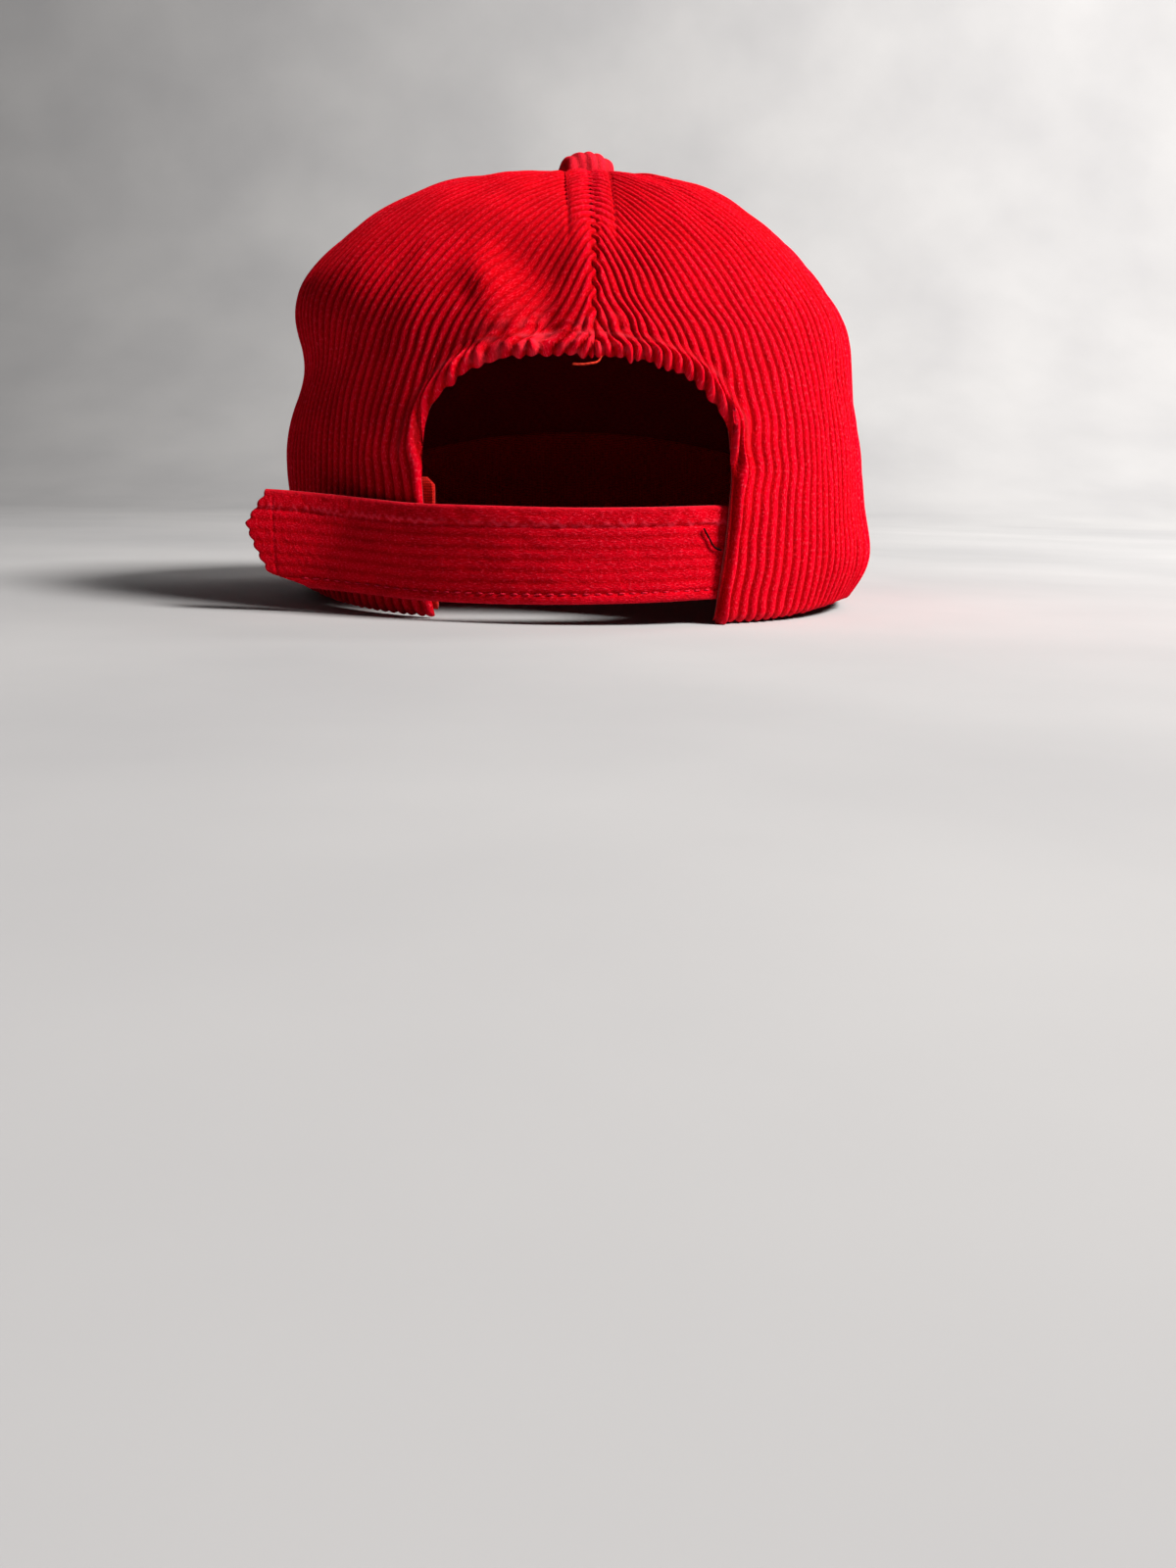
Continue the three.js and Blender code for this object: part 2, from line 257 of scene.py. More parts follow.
@dataclass(frozen=True)
class Finish:
    """A base for finishes: a Principled surface whose detail the subclasses draw."""

    name: str
    roughness: float = 0.9
    sheen: float = 0.0
    sheen_tint: str = "#ffffff"
    sheen_roughness: float = 0.5

    def material(self) -> bpy.types.Material:
        """Make the material, or give the one made before.

        Returns:
            The material.
        """
        found = bpy.data.materials.get(self.name)
        if found:
            return found
        made = bpy.data.materials.new(self.name)
        made.use_nodes = True
        tree = made.node_tree
        shader = tree.nodes["Principled BSDF"]
        shader.inputs["Roughness"].default_value = self.roughness
        shader.inputs["Specular IOR Level"].default_value = 0.02
        shader.inputs["Sheen Weight"].default_value = self.sheen
        shader.inputs["Sheen Roughness"].default_value = self.sheen_roughness
        shader.inputs["Sheen Tint"].default_value = linear(self.sheen_tint)
        self.draw(tree, shader)
        return made

    def draw(self, tree: Tree, shader: Node) -> None:
        """Draw the finish's own detail into the tree."""

    def place(self, tree: Tree, space: Space, scale: Triple) -> Socket:
        """Give coordinates for a pattern.

        Args:
            tree: The material's tree.
            space: Which coordinates to read.
            scale: How many steps of the pattern there are to a metre, or to a millimetre of cloth.

        Returns:
            The scaled coordinates.
        """
        source = node(tree, "ShaderNodeTexCoord").outputs[space.value]
        return node(tree, "ShaderNodeMapping", {"Vector": source, "Scale": scale}).outputs[0]

    def noise(
        self, tree: Tree, space: Space, scale: Triple, detail: float, roughness: float = 0.5
    ) -> Socket:
        """Give a cloudy pattern.

        Args:
            tree: The material's tree.
            space: Which coordinates it follows.
            scale: How many clouds there are to a metre, or to a millimetre of cloth.
            detail: How many finer layers it has.
            roughness: How strong the finer layers are.

        Returns:
            The pattern's socket, from 0 to 1.
        """
        links = {"Vector": self.place(tree, space, scale), "Scale": 1.0, "Detail": detail}
        return node(tree, "ShaderNodeTexNoise", {**links, "Roughness": roughness}).outputs[0]

    def relief(self, tree: Tree, shader: Node, height: Socket, strength: float, depth: float) -> None:
        """Raise the surface by a pattern.

        Args:
            tree: The material's tree.
            shader: Its Principled shader.
            height: The pattern.
            strength: How much of it shows.
            depth: How deep it looks, in millimetres.
        """
        links = {"Height": height, "Strength": strength, "Distance": depth * MM}
        tree.links.new(node(tree, "ShaderNodeBump", links).outputs[0], shader.inputs["Normal"])


@dataclass(frozen=True)
class CottonCorduroy(Finish):
    """Cut-pile cotton: soft cords with short fibres, with painted shade in the grooves between them."""

    # Painted shade: groove, flank and crest go from dark to light, so that the grooves look shaded.
    groove: str = "#a60006"
    flank: str = "#cc0010"
    crest: str = "#e80020"
    # The colour of rubbed pile, also used as a painted highlight on standing fibres.
    wear_and_highlight: str = "#ff5064"
    pile: float = 0.9  # how deep the brushed fibres look, in millimetres

    def draw(self, tree: Tree, shader: Node) -> None:
        """Colour the cords by their height as painted shade in the grooves, with fibres, brushed
        patches, wear and painted highlights.

        Args:
            tree: The material's tree.
            shader: Its Principled shader.
        """
        rib = node(tree, "ShaderNodeAttribute", attribute_name="rib").outputs["Fac"]
        wear = node(tree, "ShaderNodeAttribute", attribute_name="wear").outputs["Fac"]
        # Fibres are 0.02 mm thick and are drawn as tufts of about 0.3 by 0.8 mm, so that they show.
        tufts = self.noise(tree, Space.CLOTH, (2.6, 1.1, 1.0), 4.0, 0.65)
        # Pile that has been brushed or pressed lies in patches of about 12 mm.
        patches = self.noise(tree, Space.SOLID, (80.0, 80.0, 80.0), 3.0, 0.6)
        height = maths(tree, "MULTIPLY_ADD", tufts, 1.2, -0.6)
        lifted = maths(tree, "ADD", rib, height, clamp=True)
        # Painted shade: the colour darkens with the cords' height, down into the grooves.
        cords = ramp(tree, lifted, {0.05: self.groove, 0.5: self.flank, 0.85: self.crest})
        shade = node(tree, "ShaderNodeMapRange", {
            "Value": patches, "From Min": 0.35, "From Max": 0.7, "To Min": 0.86, "To Max": 1.1,
        })
        brushed = node(tree, "ShaderNodeHueSaturation", {"Color": cords, "Value": shade.outputs[0]})
        # Painted highlight: single fibres that stand up on the crests are drawn paler, as if they catch
        # the light.
        bright = node(tree, "ShaderNodeMapRange", {
            "Value": tufts, "From Min": 0.53, "From Max": 0.72, "To Max": 0.75,
        })
        fibres = maths(tree, "MULTIPLY", bright.outputs[0], rib)
        rubs = maths(tree, "MULTIPLY", wear, tufts)
        # Wear and painted highlight: rubbed pile and the highlighted fibres both mix towards the pale
        # colour.
        rubbed = node(tree, "ShaderNodeMix", {
            "Factor": maths(tree, "MAXIMUM", fibres, rubs),
            "A": brushed.outputs[0],
            "B": linear(self.wear_and_highlight),
        }, data_type="RGBA")
        tree.links.new(rubbed.outputs["Result"], shader.inputs["Base Color"])
        self.relief(tree, shader, tufts, 0.55, self.pile)


@dataclass(frozen=True)
class PlainWeave(Finish):
    """Plain-woven cotton: crossed threads with a dry, matt face."""

    dark: str = "#7d0a10"
    light: str = "#b81822"
    thread: float = 0.7  # thread spacing in millimetres, twice the real one so that it shows

    def draw(self, tree: Tree, shader: Node) -> None:
        """Draw the crossed threads and their uneven colour.

        Args:
            tree: The material's tree.
            shader: Its Principled shader.
        """
        cloth = self.place(tree, Space.CLOTH, (1 / self.thread, 1 / self.thread, 1.0))
        links = {"Vector": cloth, "Scale": 0.5, "Distortion": 0.6, "Detail": 1.0}
        warp, weft = (
            node(tree, "ShaderNodeTexWave", links, bands_direction=way).outputs["Fac"] for way in "XY"
        )
        weave = maths(tree, "MULTIPLY", warp, weft)
        slubs = self.noise(tree, Space.CLOTH, (0.6, 2.4, 1.0), 3.0)
        tone = maths(tree, "MULTIPLY_ADD", weave, 0.5, slubs)
        colour = ramp(tree, tone, {0.3: self.dark, 0.95: self.light})
        tree.links.new(colour, shader.inputs["Base Color"])
        self.relief(tree, shader, weave, 0.5, 0.2)


@dataclass(frozen=True)
class SpunThread(Finish):
    """Spun polyester sewing thread: two plies twisted together, with a slight gloss."""

    colour: str = "#b40c1a"
    shade: str = "#6d0510"

    def draw(self, tree: Tree, shader: Node) -> None:
        """Draw the twist of the plies.

        Args:
            tree: The material's tree.
            shader: Its Principled shader.
        """
        # The plies cross the thread every 0.4 mm.
        twist = node(tree, "ShaderNodeTexWave", {
            "Vector": self.place(tree, Space.SOLID, (1.0, 1.0, 1.0)), "Scale": 400.0, "Distortion": 0.4,
        }, bands_direction="DIAGONAL")
        colour = ramp(tree, twist.outputs["Fac"], {0.0: self.shade, 0.6: self.colour})
        tree.links.new(colour, shader.inputs["Base Color"])


@dataclass(frozen=True)
class PaintedBoard(Finish):
    """A studio surface: smooth, pale and matt."""

    dark: str = "#a6a7a9"
    light: str = "#b4b5b6"

    def draw(self, tree: Tree, shader: Node) -> None:
        """Draw faint cloudy unevenness.

        Args:
            tree: The material's tree.
            shader: Its Principled shader.
        """
        clouds = self.noise(tree, Space.SOLID, (5.0, 5.0, 5.0), 5.0)
        colour = ramp(tree, clouds, {0.3: self.dark, 0.7: self.light})
        tree.links.new(colour, shader.inputs["Base Color"])


CORDUROY = CottonCorduroy("red_cotton_corduroy", sheen=0.15, sheen_tint="#ff2038", sheen_roughness=0.3)
STRAP_CORDUROY = CottonCorduroy(
    "crimson_cotton_corduroy", sheen=0.15, sheen_tint="#ff2040", sheen_roughness=0.3,
    groove="#a8000c", flank="#bc000e", crest="#d40018", wear_and_highlight="#fa4058", pile=1.0,
)
CLOTH_BACK = PlainWeave("cotton_corduroy_back", sheen=0.1)
BAND_COTTON = PlainWeave("ribbed_cotton_band", sheen=0.05, dark="#98080a", light="#f42c22", thread=1.0)
VISOR_LINING = PlainWeave("plain_cotton_lining", sheen=0.15, dark="#8d0b13", light="#bd1620")
FASTENER = PlainWeave("looped_nylon", dark="#4d060b", light="#7d1018")
THREAD = SpunThread("spun_polyester_thread", roughness=0.7, colour="#a00012", shade="#58000a")
STRAP_THREAD = SpunThread("pale_polyester_thread", roughness=0.7, colour="#d4203a", shade="#b01428")
LOOSE_ORANGE = SpunThread("orange_polyester_thread", roughness=0.6, colour="#e6422e", shade="#c43024")
LOOSE_DARK = SpunThread("dark_polyester_thread", roughness=0.6, colour="#2a0a0c", shade="#120405")
STUDIO = PaintedBoard("painted_board", roughness=0.95)


# --------------------------------------------------------------------------- making cloth pieces


@dataclass
class Surface:
    """Where the points of a cloth piece go, and what its material reads there."""

    points: Array  # millimetres, one row a point
    cloth: Array  # millimetres across and along the cloth
    # The material draws low rib darker, as painted shade in the grooves.
    rib: Array | float = 0.5  # 0 in a groove to 1 on a cord's crest
    wear: Array | float = 0.0  # 0 to 1 where the pile is rubbed


AXIS = (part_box("top_button")[0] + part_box("top_button")[1]) / 2
SHIFT = np.array([AXIS.x, AXIS.y, 0.0])


def to_frame(points: Array) -> Array:
    """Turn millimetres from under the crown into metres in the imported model's frame."""
    return points * MM + SHIFT


def to_data(body: bmesh.types.BMesh, name: str) -> Mesh:
    """Turn what was modelled into a mesh of that name, and let go of the original."""
    data = bpy.data.meshes.new(name)
    body.to_mesh(data)
    body.free()
    return data


def read_points(data: Mesh) -> Array:
    """Read a mesh's points, one row a point."""
    flat = np.empty(len(data.vertices) * 3)
    data.vertices.foreach_get("co", flat)
    return flat.reshape(-1, 3)


def finish_object(
    name: str, data: Mesh, finishes: Sequence[Finish], nodes: Sequence[str] = ()
) -> None:
    """Make a piece of the cap from its mesh, dress it and fasten it to the body.

    Args:
        name: The piece's name.
        data: Its mesh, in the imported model's frame.
        finishes: Its finishes, in the order of its faces' material numbers.
        nodes: The solids that the piece stands for.
    """
    piece = bpy.data.objects.new(name, data)
    bpy.context.scene.collection.objects.link(piece)
    for finish in finishes:
        data.materials.append(finish.material())
    data.shade_smooth()
    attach(piece, "root")
    if nodes:
        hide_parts(*nodes)
    triangles = sum(len(face.vertices) - 2 for face in data.polygons)
    log.info("%s: %d triangles", name, triangles)


def cloth_wall(
    name: str,
    columns: int,
    rows: int,
    shape: Callable[[Array, Array, Array], Surface],
    keep: Callable[[Array, Array], Array] | None = None,
) -> Mesh:
    """Make a closed wall of cloth from a grid.

    Args:
        name: The mesh's name.
        columns: Cells across the grid.
        rows: Cells up the grid.
        shape: Gives the surface for column numbers, row numbers and which points are outside.
        keep: Says which cells the cloth covers, by their column and row. None keeps all.

    Returns:
        The mesh, with outer faces of material 0 and the rest of material 1.
    """
    sheet = bmesh.new()
    place = Matrix.Diagonal((columns, rows, 1, 1)) @ Matrix.Translation((0.5, 0.5, 0))
    bmesh.ops.create_grid(sheet, x_segments=columns, y_segments=rows, size=0.5, matrix=place)
    if keep:
        middles = np.array([face.calc_center_median() for face in sheet.faces])
        covered = keep(np.floor(middles[:, 0]), np.floor(middles[:, 1]))
        spare = [face for face, held in zip(sheet.faces, covered) if not held]
        bmesh.ops.delete(sheet, geom=spare, context="FACES")
    raised = bmesh.ops.extrude_face_region(sheet, geom=list(sheet.faces))["geom"]
    for item in raised:
        if isinstance(item, bmesh.types.BMVert):
            item.co.z = 1
        elif isinstance(item, bmesh.types.BMFace):
            item.tag = True
    for face in sheet.faces:
        face.material_index = 0 if face.tag else 1
    data = to_data(sheet, name)

    column, row, side = read_points(data).T
    surface = shape(np.rint(column).astype(int), np.rint(row).astype(int), side > 0.5)
    data.vertices.foreach_set("co", to_frame(surface.points).ravel())
    dress_points(data, surface)
    face_outwards(data)
    return data


def dress_points(data: Mesh, surface: Surface) -> None:
    """Give a mesh its cloth coordinates and the numbers that its material reads.

    Args:
        data: The mesh.
        surface: The same surface that placed its points.
    """
    corner = np.empty(len(data.loops), np.int32)
    data.loops.foreach_get("vertex_index", corner)
    layer = data.uv_layers.new(name="cloth")
    layer.data.foreach_set("uv", surface.cloth[corner].ravel())
    for name, values in (("rib", surface.rib), ("wear", surface.wear)):
        numbers = np.full(len(data.vertices), values, np.float32)
        data.attributes.new(name, "FLOAT", "POINT").data.foreach_set("value", numbers)


def face_outwards(data: Mesh) -> None:
    """Turn a closed mesh the right way out if it is inside out."""
    body = bmesh.new()
    body.from_mesh(data)
    if body.calc_volume(signed=True) < 0:
        bmesh.ops.reverse_faces(body, faces=list(body.faces))
        body.to_mesh(data)
    body.free()
    data.update()


# ----------------------------------------------------------------------------- the crown's shape


@dataclass(frozen=True)
class Fold:
    """A soft bulge or dent of the crown."""

    azimuth: float  # 0 is the front and 90 the wearer's right
    level: float  # 0 at the rim to 1 at the top
    turn: float  # how far round it spreads, in degrees
    rise: float  # how far up
    depth: float  # above 0 is a bulge


@dataclass(frozen=True)
class Dome:
    """The smooth form that the crown's panels are cut from."""

    half_width: float = 90.0
    half_length: float = 98.0
    height: float = 129.0
    hole: float = 3.2  # radius of the hole for the button's stem
    arch_height: float = 22.0  # how far the visor bends the front of the rim up
    arch_span: float = 72.0
    # Back, side and front meridians, each as a height and a distance out, from rim to top.
    meridians: tuple[tuple[float, ...], ...] = (
        (0.0, 0.97, 0.0, 0.985, 0.0, 1.0),
        (0.122, 0.985, 0.122, 1.02, 0.137, 1.0),
        (0.259, 0.99, 0.259, 1.012, 0.281, 0.985),
        (0.395, 0.98, 0.395, 0.99, 0.426, 0.96),
        (0.532, 0.95, 0.532, 0.957, 0.57, 0.925),
        (0.654, 0.89, 0.662, 0.93, 0.707, 0.87),
        (0.76, 0.8, 0.768, 0.845, 0.821, 0.785),
        (0.844, 0.69, 0.852, 0.73, 0.905, 0.675),
        (0.909, 0.56, 0.916, 0.605, 0.962, 0.545),
        (0.957, 0.43, 0.962, 0.47, 0.99, 0.41),
        (0.985, 0.29, 0.988, 0.33, 1.0, 0.28),
        (0.996, 0.15, 0.997, 0.17, 1.002, 0.14),
        (1.0, 0.0, 1.0, 0.0, 1.0, 0.0),
    )
    folds: tuple[Fold, ...] = (
        Fold(-98, 0.44, 30, 0.07, 3.6),
        Fold(-104, 0.54, 34, 0.2, 4.2),
        Fold(-100, 0.335, 26, 0.05, -1.8),
        Fold(-98, 0.23, 24, 0.07, 2.8),
        Fold(103, 0.09, 26, 0.05, 2.6),
        Fold(98, 0.3, 22, 0.05, -0.8),
        Fold(100, 0.55, 30, 0.13, -2.2),
        Fold(-62, 0.74, 30, 0.08, 2.4),
        Fold(60, 0.78, 36, 0.07, 2.4),
        Fold(-166, 0.42, 6, 0.06, 2.2),
        Fold(-175, 0.45, 5, 0.05, -1.8),
    )

    # Small wrinkles of the face between the opening and the seam, which the solid leaves out.
    wrinkles: tuple[Fold, ...] = (
        Fold(-160.5, 0.46, 4, 0.05, 1.4),
        Fold(-163, 0.5, 4, 0.04, -1.4),
        Fold(-168.5, 0.45, 4.5, 0.05, -3.0),
        Fold(-173, 0.385, 4, 0.035, -1.6),
        Fold(180, 0.49, 6, 0.1, 2.2),
        Fold(-159, 0.42, 2, 0.02, -0.9),
    )

    def slew(self, azimuth: Array) -> Array:
        """Give where the slack cloth carries an azimuth: the middle seam lies right of the middle."""
        return azimuth - 3.0 * bump((np.asarray(azimuth) + 360) % 360 - 180, 15)

    def turn_of(self, run: Array | float) -> Array | float:
        """Give how many degrees that many millimetres are, at the back of the rim."""
        return run / math.radians(self.half_length)

    def lift(self, azimuth: Array) -> Array:
        """Give how far the rim has sprung up off the floor, beside the ears."""
        return 1.0 + 3.2 * bump(abs(azimuth) - 108, 24)

    def rim(self, azimuth: Array) -> Array:
        """Give the rim's height at an azimuth."""
        turn = (np.asarray(azimuth) + 180) % 360 - 180
        return self.arch_height * np.maximum(0, 1 - (turn / self.arch_span) ** 2) ** 1.5

    def base(self, azimuth: Array, level: Array) -> Array:
        """Give points of the smooth dome.

        Args:
            azimuth: Degrees from the front towards the wearer's right.
            level: 0 at the rim to 1 at the top.

        Returns:
            The points.
        """
        turn = np.radians(azimuth)
        sine, cosine = np.sin(turn), np.cos(turn)
        rows = along(np.array(self.meridians), level)
        weights = (np.maximum(0, -cosine) ** 2, sine**2, np.maximum(0, cosine) ** 2)
        rise = sum(w * rows[..., 2 * k] for k, w in enumerate(weights))
        out = sum(w * rows[..., 2 * k + 1] for k, w in enumerate(weights))
        rim = self.rim(azimuth)
        across, ahead = self.half_width * out * sine, self.half_length * out * cosine
        return np.stack([across, ahead, rim + rise * (self.height - rim)], axis=-1)

    def normal(self, azimuth: Array, level: Array) -> Array:
        """Give the way the dome faces. It is level at the rim."""
        step = 1e-3
        level = np.asarray(level, float)
        around = self.base(azimuth + step * 90, level) - self.base(azimuth - step * 90, level)
        above = self.base(azimuth, np.minimum(level + step, 1))
        below = self.base(azimuth, np.maximum(level - step, 0))
        facing = np.cross(above - below, around)
        facing[..., 2] *= np.minimum(1, level / 0.08)
        return unit(facing)

    def relief(self, azimuth: Array, level: Array, folds: Sequence[Fold] = ()) -> Array:
        """Give how far the folds stand out of the smooth dome."""
        total = np.zeros(np.broadcast(azimuth, level).shape)
        for fold in folds or self.folds:
            turn = ((azimuth - fold.azimuth + 180) % 360 - 180) / fold.turn
            total += fold.depth * np.exp(-(turn**2) - ((level - fold.level) / fold.rise) ** 2)
        return total

    def point(self, azimuth: Array, level: Array, stand: Array | float = 0.0) -> Array:
        """Give points that stand off the crown's face.

        Args:
            azimuth: Degrees from the front towards the wearer's right.
            level: 0 at the rim to 1 at the top.
            stand: How far outside the face they are.

        Returns:
            The points.
        """
        off = self.relief(azimuth, level) + stand
        return self.base(azimuth, level) + self.normal(azimuth, level) * np.asarray(off)[..., None]

    def level_at(self, azimuth: Array, height: Array) -> Array:
        """Find the level at a height above the surface."""
        azimuth, height = np.broadcast_arrays(azimuth, height)
        low, high = np.zeros(azimuth.shape), np.full(azimuth.shape, 0.9)
        return solve(lambda level: self.base(azimuth, level)[..., 2] - height, low, high)

    def hole_level(self) -> float:
        """Find the level where the panels end at the hole for the button."""
        right = np.array(90.0)
        return float(solve(lambda level: self.hole - self.base(right, level)[0], 0.8, 1.0))

    def stride(self, azimuth: Array, level: Array) -> Array:
        """Give how many millimetres one radian of azimuth is."""
        step = 0.05
        ahead = self.base(azimuth + step, level) - self.base(azimuth - step, level)
        return np.linalg.norm(ahead, axis=-1) / math.radians(2 * step)


@dataclass(frozen=True)
class Opening:
    """The arched opening at the middle of the back. Its upright sides lean apart."""

    rim_half_angle: float = 26.8
    half_angle: float = 28.6
    spring: float = 43.0  # height where the upright sides turn into the arch
    top: float = 71.0
    roundness: float = 2.6  # 2 is an ellipse, and more is squarer

    @property
    def side(self) -> float:
        """The azimuth of the arch's foot on the right."""
        return 180 - self.half_angle

    def half_widths(self, dome: Dome) -> tuple[float, float]:
        """Give half of the opening's width at the rim and where the arch springs."""
        level = dome.level_at(np.array(self.side), np.array(self.spring))
        rim = dome.base(np.array(180 - self.rim_half_angle), np.array(0.0))[0]
        return float(rim), float(dome.base(np.array(self.side), level)[0])

    def distance(self, points: Array, half_widths: tuple[float, float]) -> tuple[Array, Array]:
        """Measure from the opening's edge.

        Args:
            points: Points of the crown.
            half_widths: Half of the opening's width at the rim and at the arch's foot.

        Returns:
            The distance outside the edge, and the direction towards the opening.
        """
        x, z, n = points[..., 0], points[..., 2], self.roundness
        rise = self.top - self.spring
        half_width = mix(*half_widths, np.clip(z / self.spring, 0, 1))
        up = np.maximum(z - self.spring, 0) / rise
        across = abs(x) / half_width
        reach = np.maximum((across**n + up**n) ** (1 / n), 1e-6)
        slope_x = np.sign(x) * (across / reach) ** (n - 1) / half_width
        slope_z = (up / reach) ** (n - 1) / rise
        steep = np.maximum(np.hypot(slope_x, slope_z), 1e-6)
        towards = np.stack([-slope_x / steep, np.zeros_like(x), -slope_z / steep], axis=-1)
        return (reach - 1) / steep, towards


# ------------------------------------------------------------------------------------ the panels


# The first rows above the opening, next to a plain row's 1. The last rows mirror them.
PANEL_ROWS = (0.12, 0.25, 0.3, 0.3, 0.35, 0.4, 0.5, 0.6, 0.8)


@dataclass(frozen=True)
class Cord:
    """The cords of the corduroy."""

    pitch: float = 3.2
    height: float = 0.95
    samples: int = 8  # columns of the mesh to a cord

    def crest(self, across: Array) -> Array:
        """Give 1 on a cord's crest, 0 in the groove beside it, by millimetres across."""
        wave = (np.cos(2 * np.pi * across / self.pitch) + 1) / 2
        return wave**0.45


class Lay(Enum):
    """How a panel's cords run."""

    STRAIGHT = "parallel to the panel's middle"
    LEANING = "upright at the rim, then over into the middle seam"


@dataclass
class Panel:
    """A panel of the crown, whose cords end at its seams."""

    name: str
    middle: float
    half_span: float
    dome: Dome
    opening: Opening
    lay: Lay = Lay.STRAIGHT
    cord: Cord = field(default_factory=Cord)
    open_side: int = 0  # 1 or -1 where the panel is cut away for the opening, at that side of it
    thickness: float = 1.6
    gap: float = 0.06  # the panels are sewn edge to edge
    straight: float = 0.28  # the level up to which the cords run straight up
    gather: float = 1.5  # how unevenly a leaning panel's cords run into the seam: 1 is evenly
    low_rows: int = 38
    high_rows: int = 86
    pinch: float = 0.0  # how far the cords are pulled towards the opening where its side is pinched
    seam_stitch: float = 6.4  # from a seam to the stitches beside it
    hem_stitch: float = 4.4
    hem_roll: float = 1.7  # the radius that an edge is rolled under by

    def __post_init__(self) -> None:
        """Work out the panel's columns and where each one starts and ends."""
        dome = self.dome
        turns = self.middle + np.linspace(-1, 1, 41) * self.half_span
        widths = dome.stride(turns, np.full(41, self.straight)) * math.radians(self.half_span)
        self.half_width = float(widths.mean())
        self.top_level = dome.hole_level()
        self.spring = float(dome.level_at(np.array(self.opening.side), np.array(self.opening.spring)))
        self.half_widths = self.opening.half_widths(dome)
        # The cords of the two back panels meet between each other.
        self.phase = self.cord.pitch / 2 if self.open_side < 0 else 0.0
        spacing = self.cord.pitch / self.cord.samples
        count = int((self.half_width - spacing / 2) / spacing)
        flat = np.arange(-count, count + 1) * spacing
        flat = np.concatenate([[-self.half_width], flat, [self.half_width]])
        self.edge = self.half_width
        if self.open_side:
            self.edge *= self.open_side * (self.opening.side - abs(self.middle)) / self.half_span
            last = self.seam_foot()
            flat = flat[flat * self.open_side < last - spacing / 2]
            flat = np.sort(np.append(flat, last * self.open_side))
            flat[np.argmin(abs(flat - self.edge))] = self.edge
        self.flat = flat
        self.over = np.zeros(len(flat), bool)
        self.end = self.seam_level(flat)
        self.start = np.full(len(flat), self.spring)
        if self.open_side:
            self.over = (flat - self.edge) * self.open_side > 1e-6
            self.start = np.where(self.over, self.arch_level(flat), self.start)
            self.end = np.maximum(self.end, self.start + 1e-4)

    def taper(self, level: Array) -> Array:
        """Give the panel's width at a level as a share of its full width."""
        level = np.asarray(level, float)
        reach = self.dome.base(np.full(level.shape, self.middle), level)
        full = self.dome.base(np.array(self.middle), np.array(self.straight))
        share = np.hypot(reach[..., 0], reach[..., 1]) / math.hypot(full[0], full[1])
        return np.where(level <= self.straight, 1.0, share)

    def sewn_in(self, level: Array) -> Array:
        """Give the share of a leaning panel's cords that have run into the middle seam."""
        return np.clip((level - self.straight) / (1 - self.straight), 0, 1) ** self.gather

    def seam_level(self, flat: Array) -> Array:
        """Find the level where each cord ends."""
        highest = np.full(np.shape(flat), self.top_level)
        if self.lay is Lay.LEANING:
            left = np.clip((1 - flat * self.open_side / self.half_width) / 2, 0, 1)
            gone = left ** (1 / self.gather)
            return np.minimum(self.straight + (1 - self.straight) * gone, highest)
        share = np.minimum(abs(flat) / self.half_width, 1)
        lowest = np.full(np.shape(flat), self.straight)
        found = solve(lambda level: share - self.taper(level), lowest, highest)
        return np.where(share <= self.taper(highest), highest, found)

    def spread(self, flat: Array, level: Array) -> Array:
        """Give how far across the panel a cord is.

        Args:
            flat: Millimetres from the panel's middle, across the cloth.
            level: Level on the crown.

        Returns:
            -1 at one side of the panel to 1 at the other.
        """
        if self.lay is Lay.STRAIGHT:
            return np.clip(flat / self.half_width / self.taper(level), -1, 1)
        gone = self.sewn_in(level)
        left = np.clip(((1 - flat * self.open_side / self.half_width) / 2 - gone) / (1 - gone), 0, 1)
        # Higher up, the cords lie closer together by the seam.
        crowd = 1.5
        crowded = np.log((1 + crowd) / (1 + crowd - left)) / math.log((1 + crowd) / crowd)
        return self.open_side * (1 - 2 * mix(left, crowded, smooth(0.25, 0.5, level)))

    def azimuth(self, flat: Array, level: Array) -> Array:
        """Give the azimuth of a cord.

        Args:
            flat: Millimetres from the panel's middle, across the cloth.
            level: Level on the crown.

        Returns:
            The azimuth.
        """
        middle = self.dome.base(np.full(np.shape(level), self.middle), level)
        reach = np.linalg.norm(middle[..., :2], axis=-1)
        turn = self.spread(flat, level) * (self.half_span - np.degrees(self.gap / 2 / reach))
        if self.open_side:
            lean = self.opening.half_angle - self.opening.rim_half_angle
            by_edge = smooth(-40, 0, (flat - self.edge) * self.open_side)
            turn = turn + self.open_side * lean * by_edge * np.maximum(0, 1 - level / self.spring)
        return self.middle + turn

    def arch_level(self, flat: Array) -> Array:
        """Find the level where a cord starts above the opening."""

        def above(level: Array) -> Array:
            """Give how far outside the opening's edge the cord is."""
            bare = self.dome.base(self.dome.slew(self.azimuth(flat, level)), level)
            return self.opening.distance(bare, self.half_widths)[0]

        return solve(above, np.full(np.shape(flat), self.spring - 0.01), np.full(np.shape(flat), 0.6))

    def seam_foot(self) -> float:
        """Find the cord that meets the middle seam just where the arch does."""
        foot = self.dome.level_at(np.array(180.0), np.array(self.opening.top))
        share = 1 - 2 * self.sewn_in(foot) if self.lay is Lay.LEANING else self.taper(foot)
        return self.half_width * float(share)

    def shape(self, column: Array, row: Array, outside: Array) -> Surface:
        """Place the points of the panel.

        Args:
            column: Column numbers.
            row: Row numbers.
            outside: True for points of the outer face.

        Returns:
            The surface.
        """
        dome, cord, middle_row = self.dome, self.cord, self.low_rows
        flat, start, end = self.flat[column], self.start[column], self.end[column]
        low = steps(self.low_rows)[np.minimum(row, middle_row)]
        high = steps(self.high_rows, PANEL_ROWS)[np.maximum(row - middle_row, 0)]
        level = np.where(row <= middle_row, start * low, mix(start, end, high))

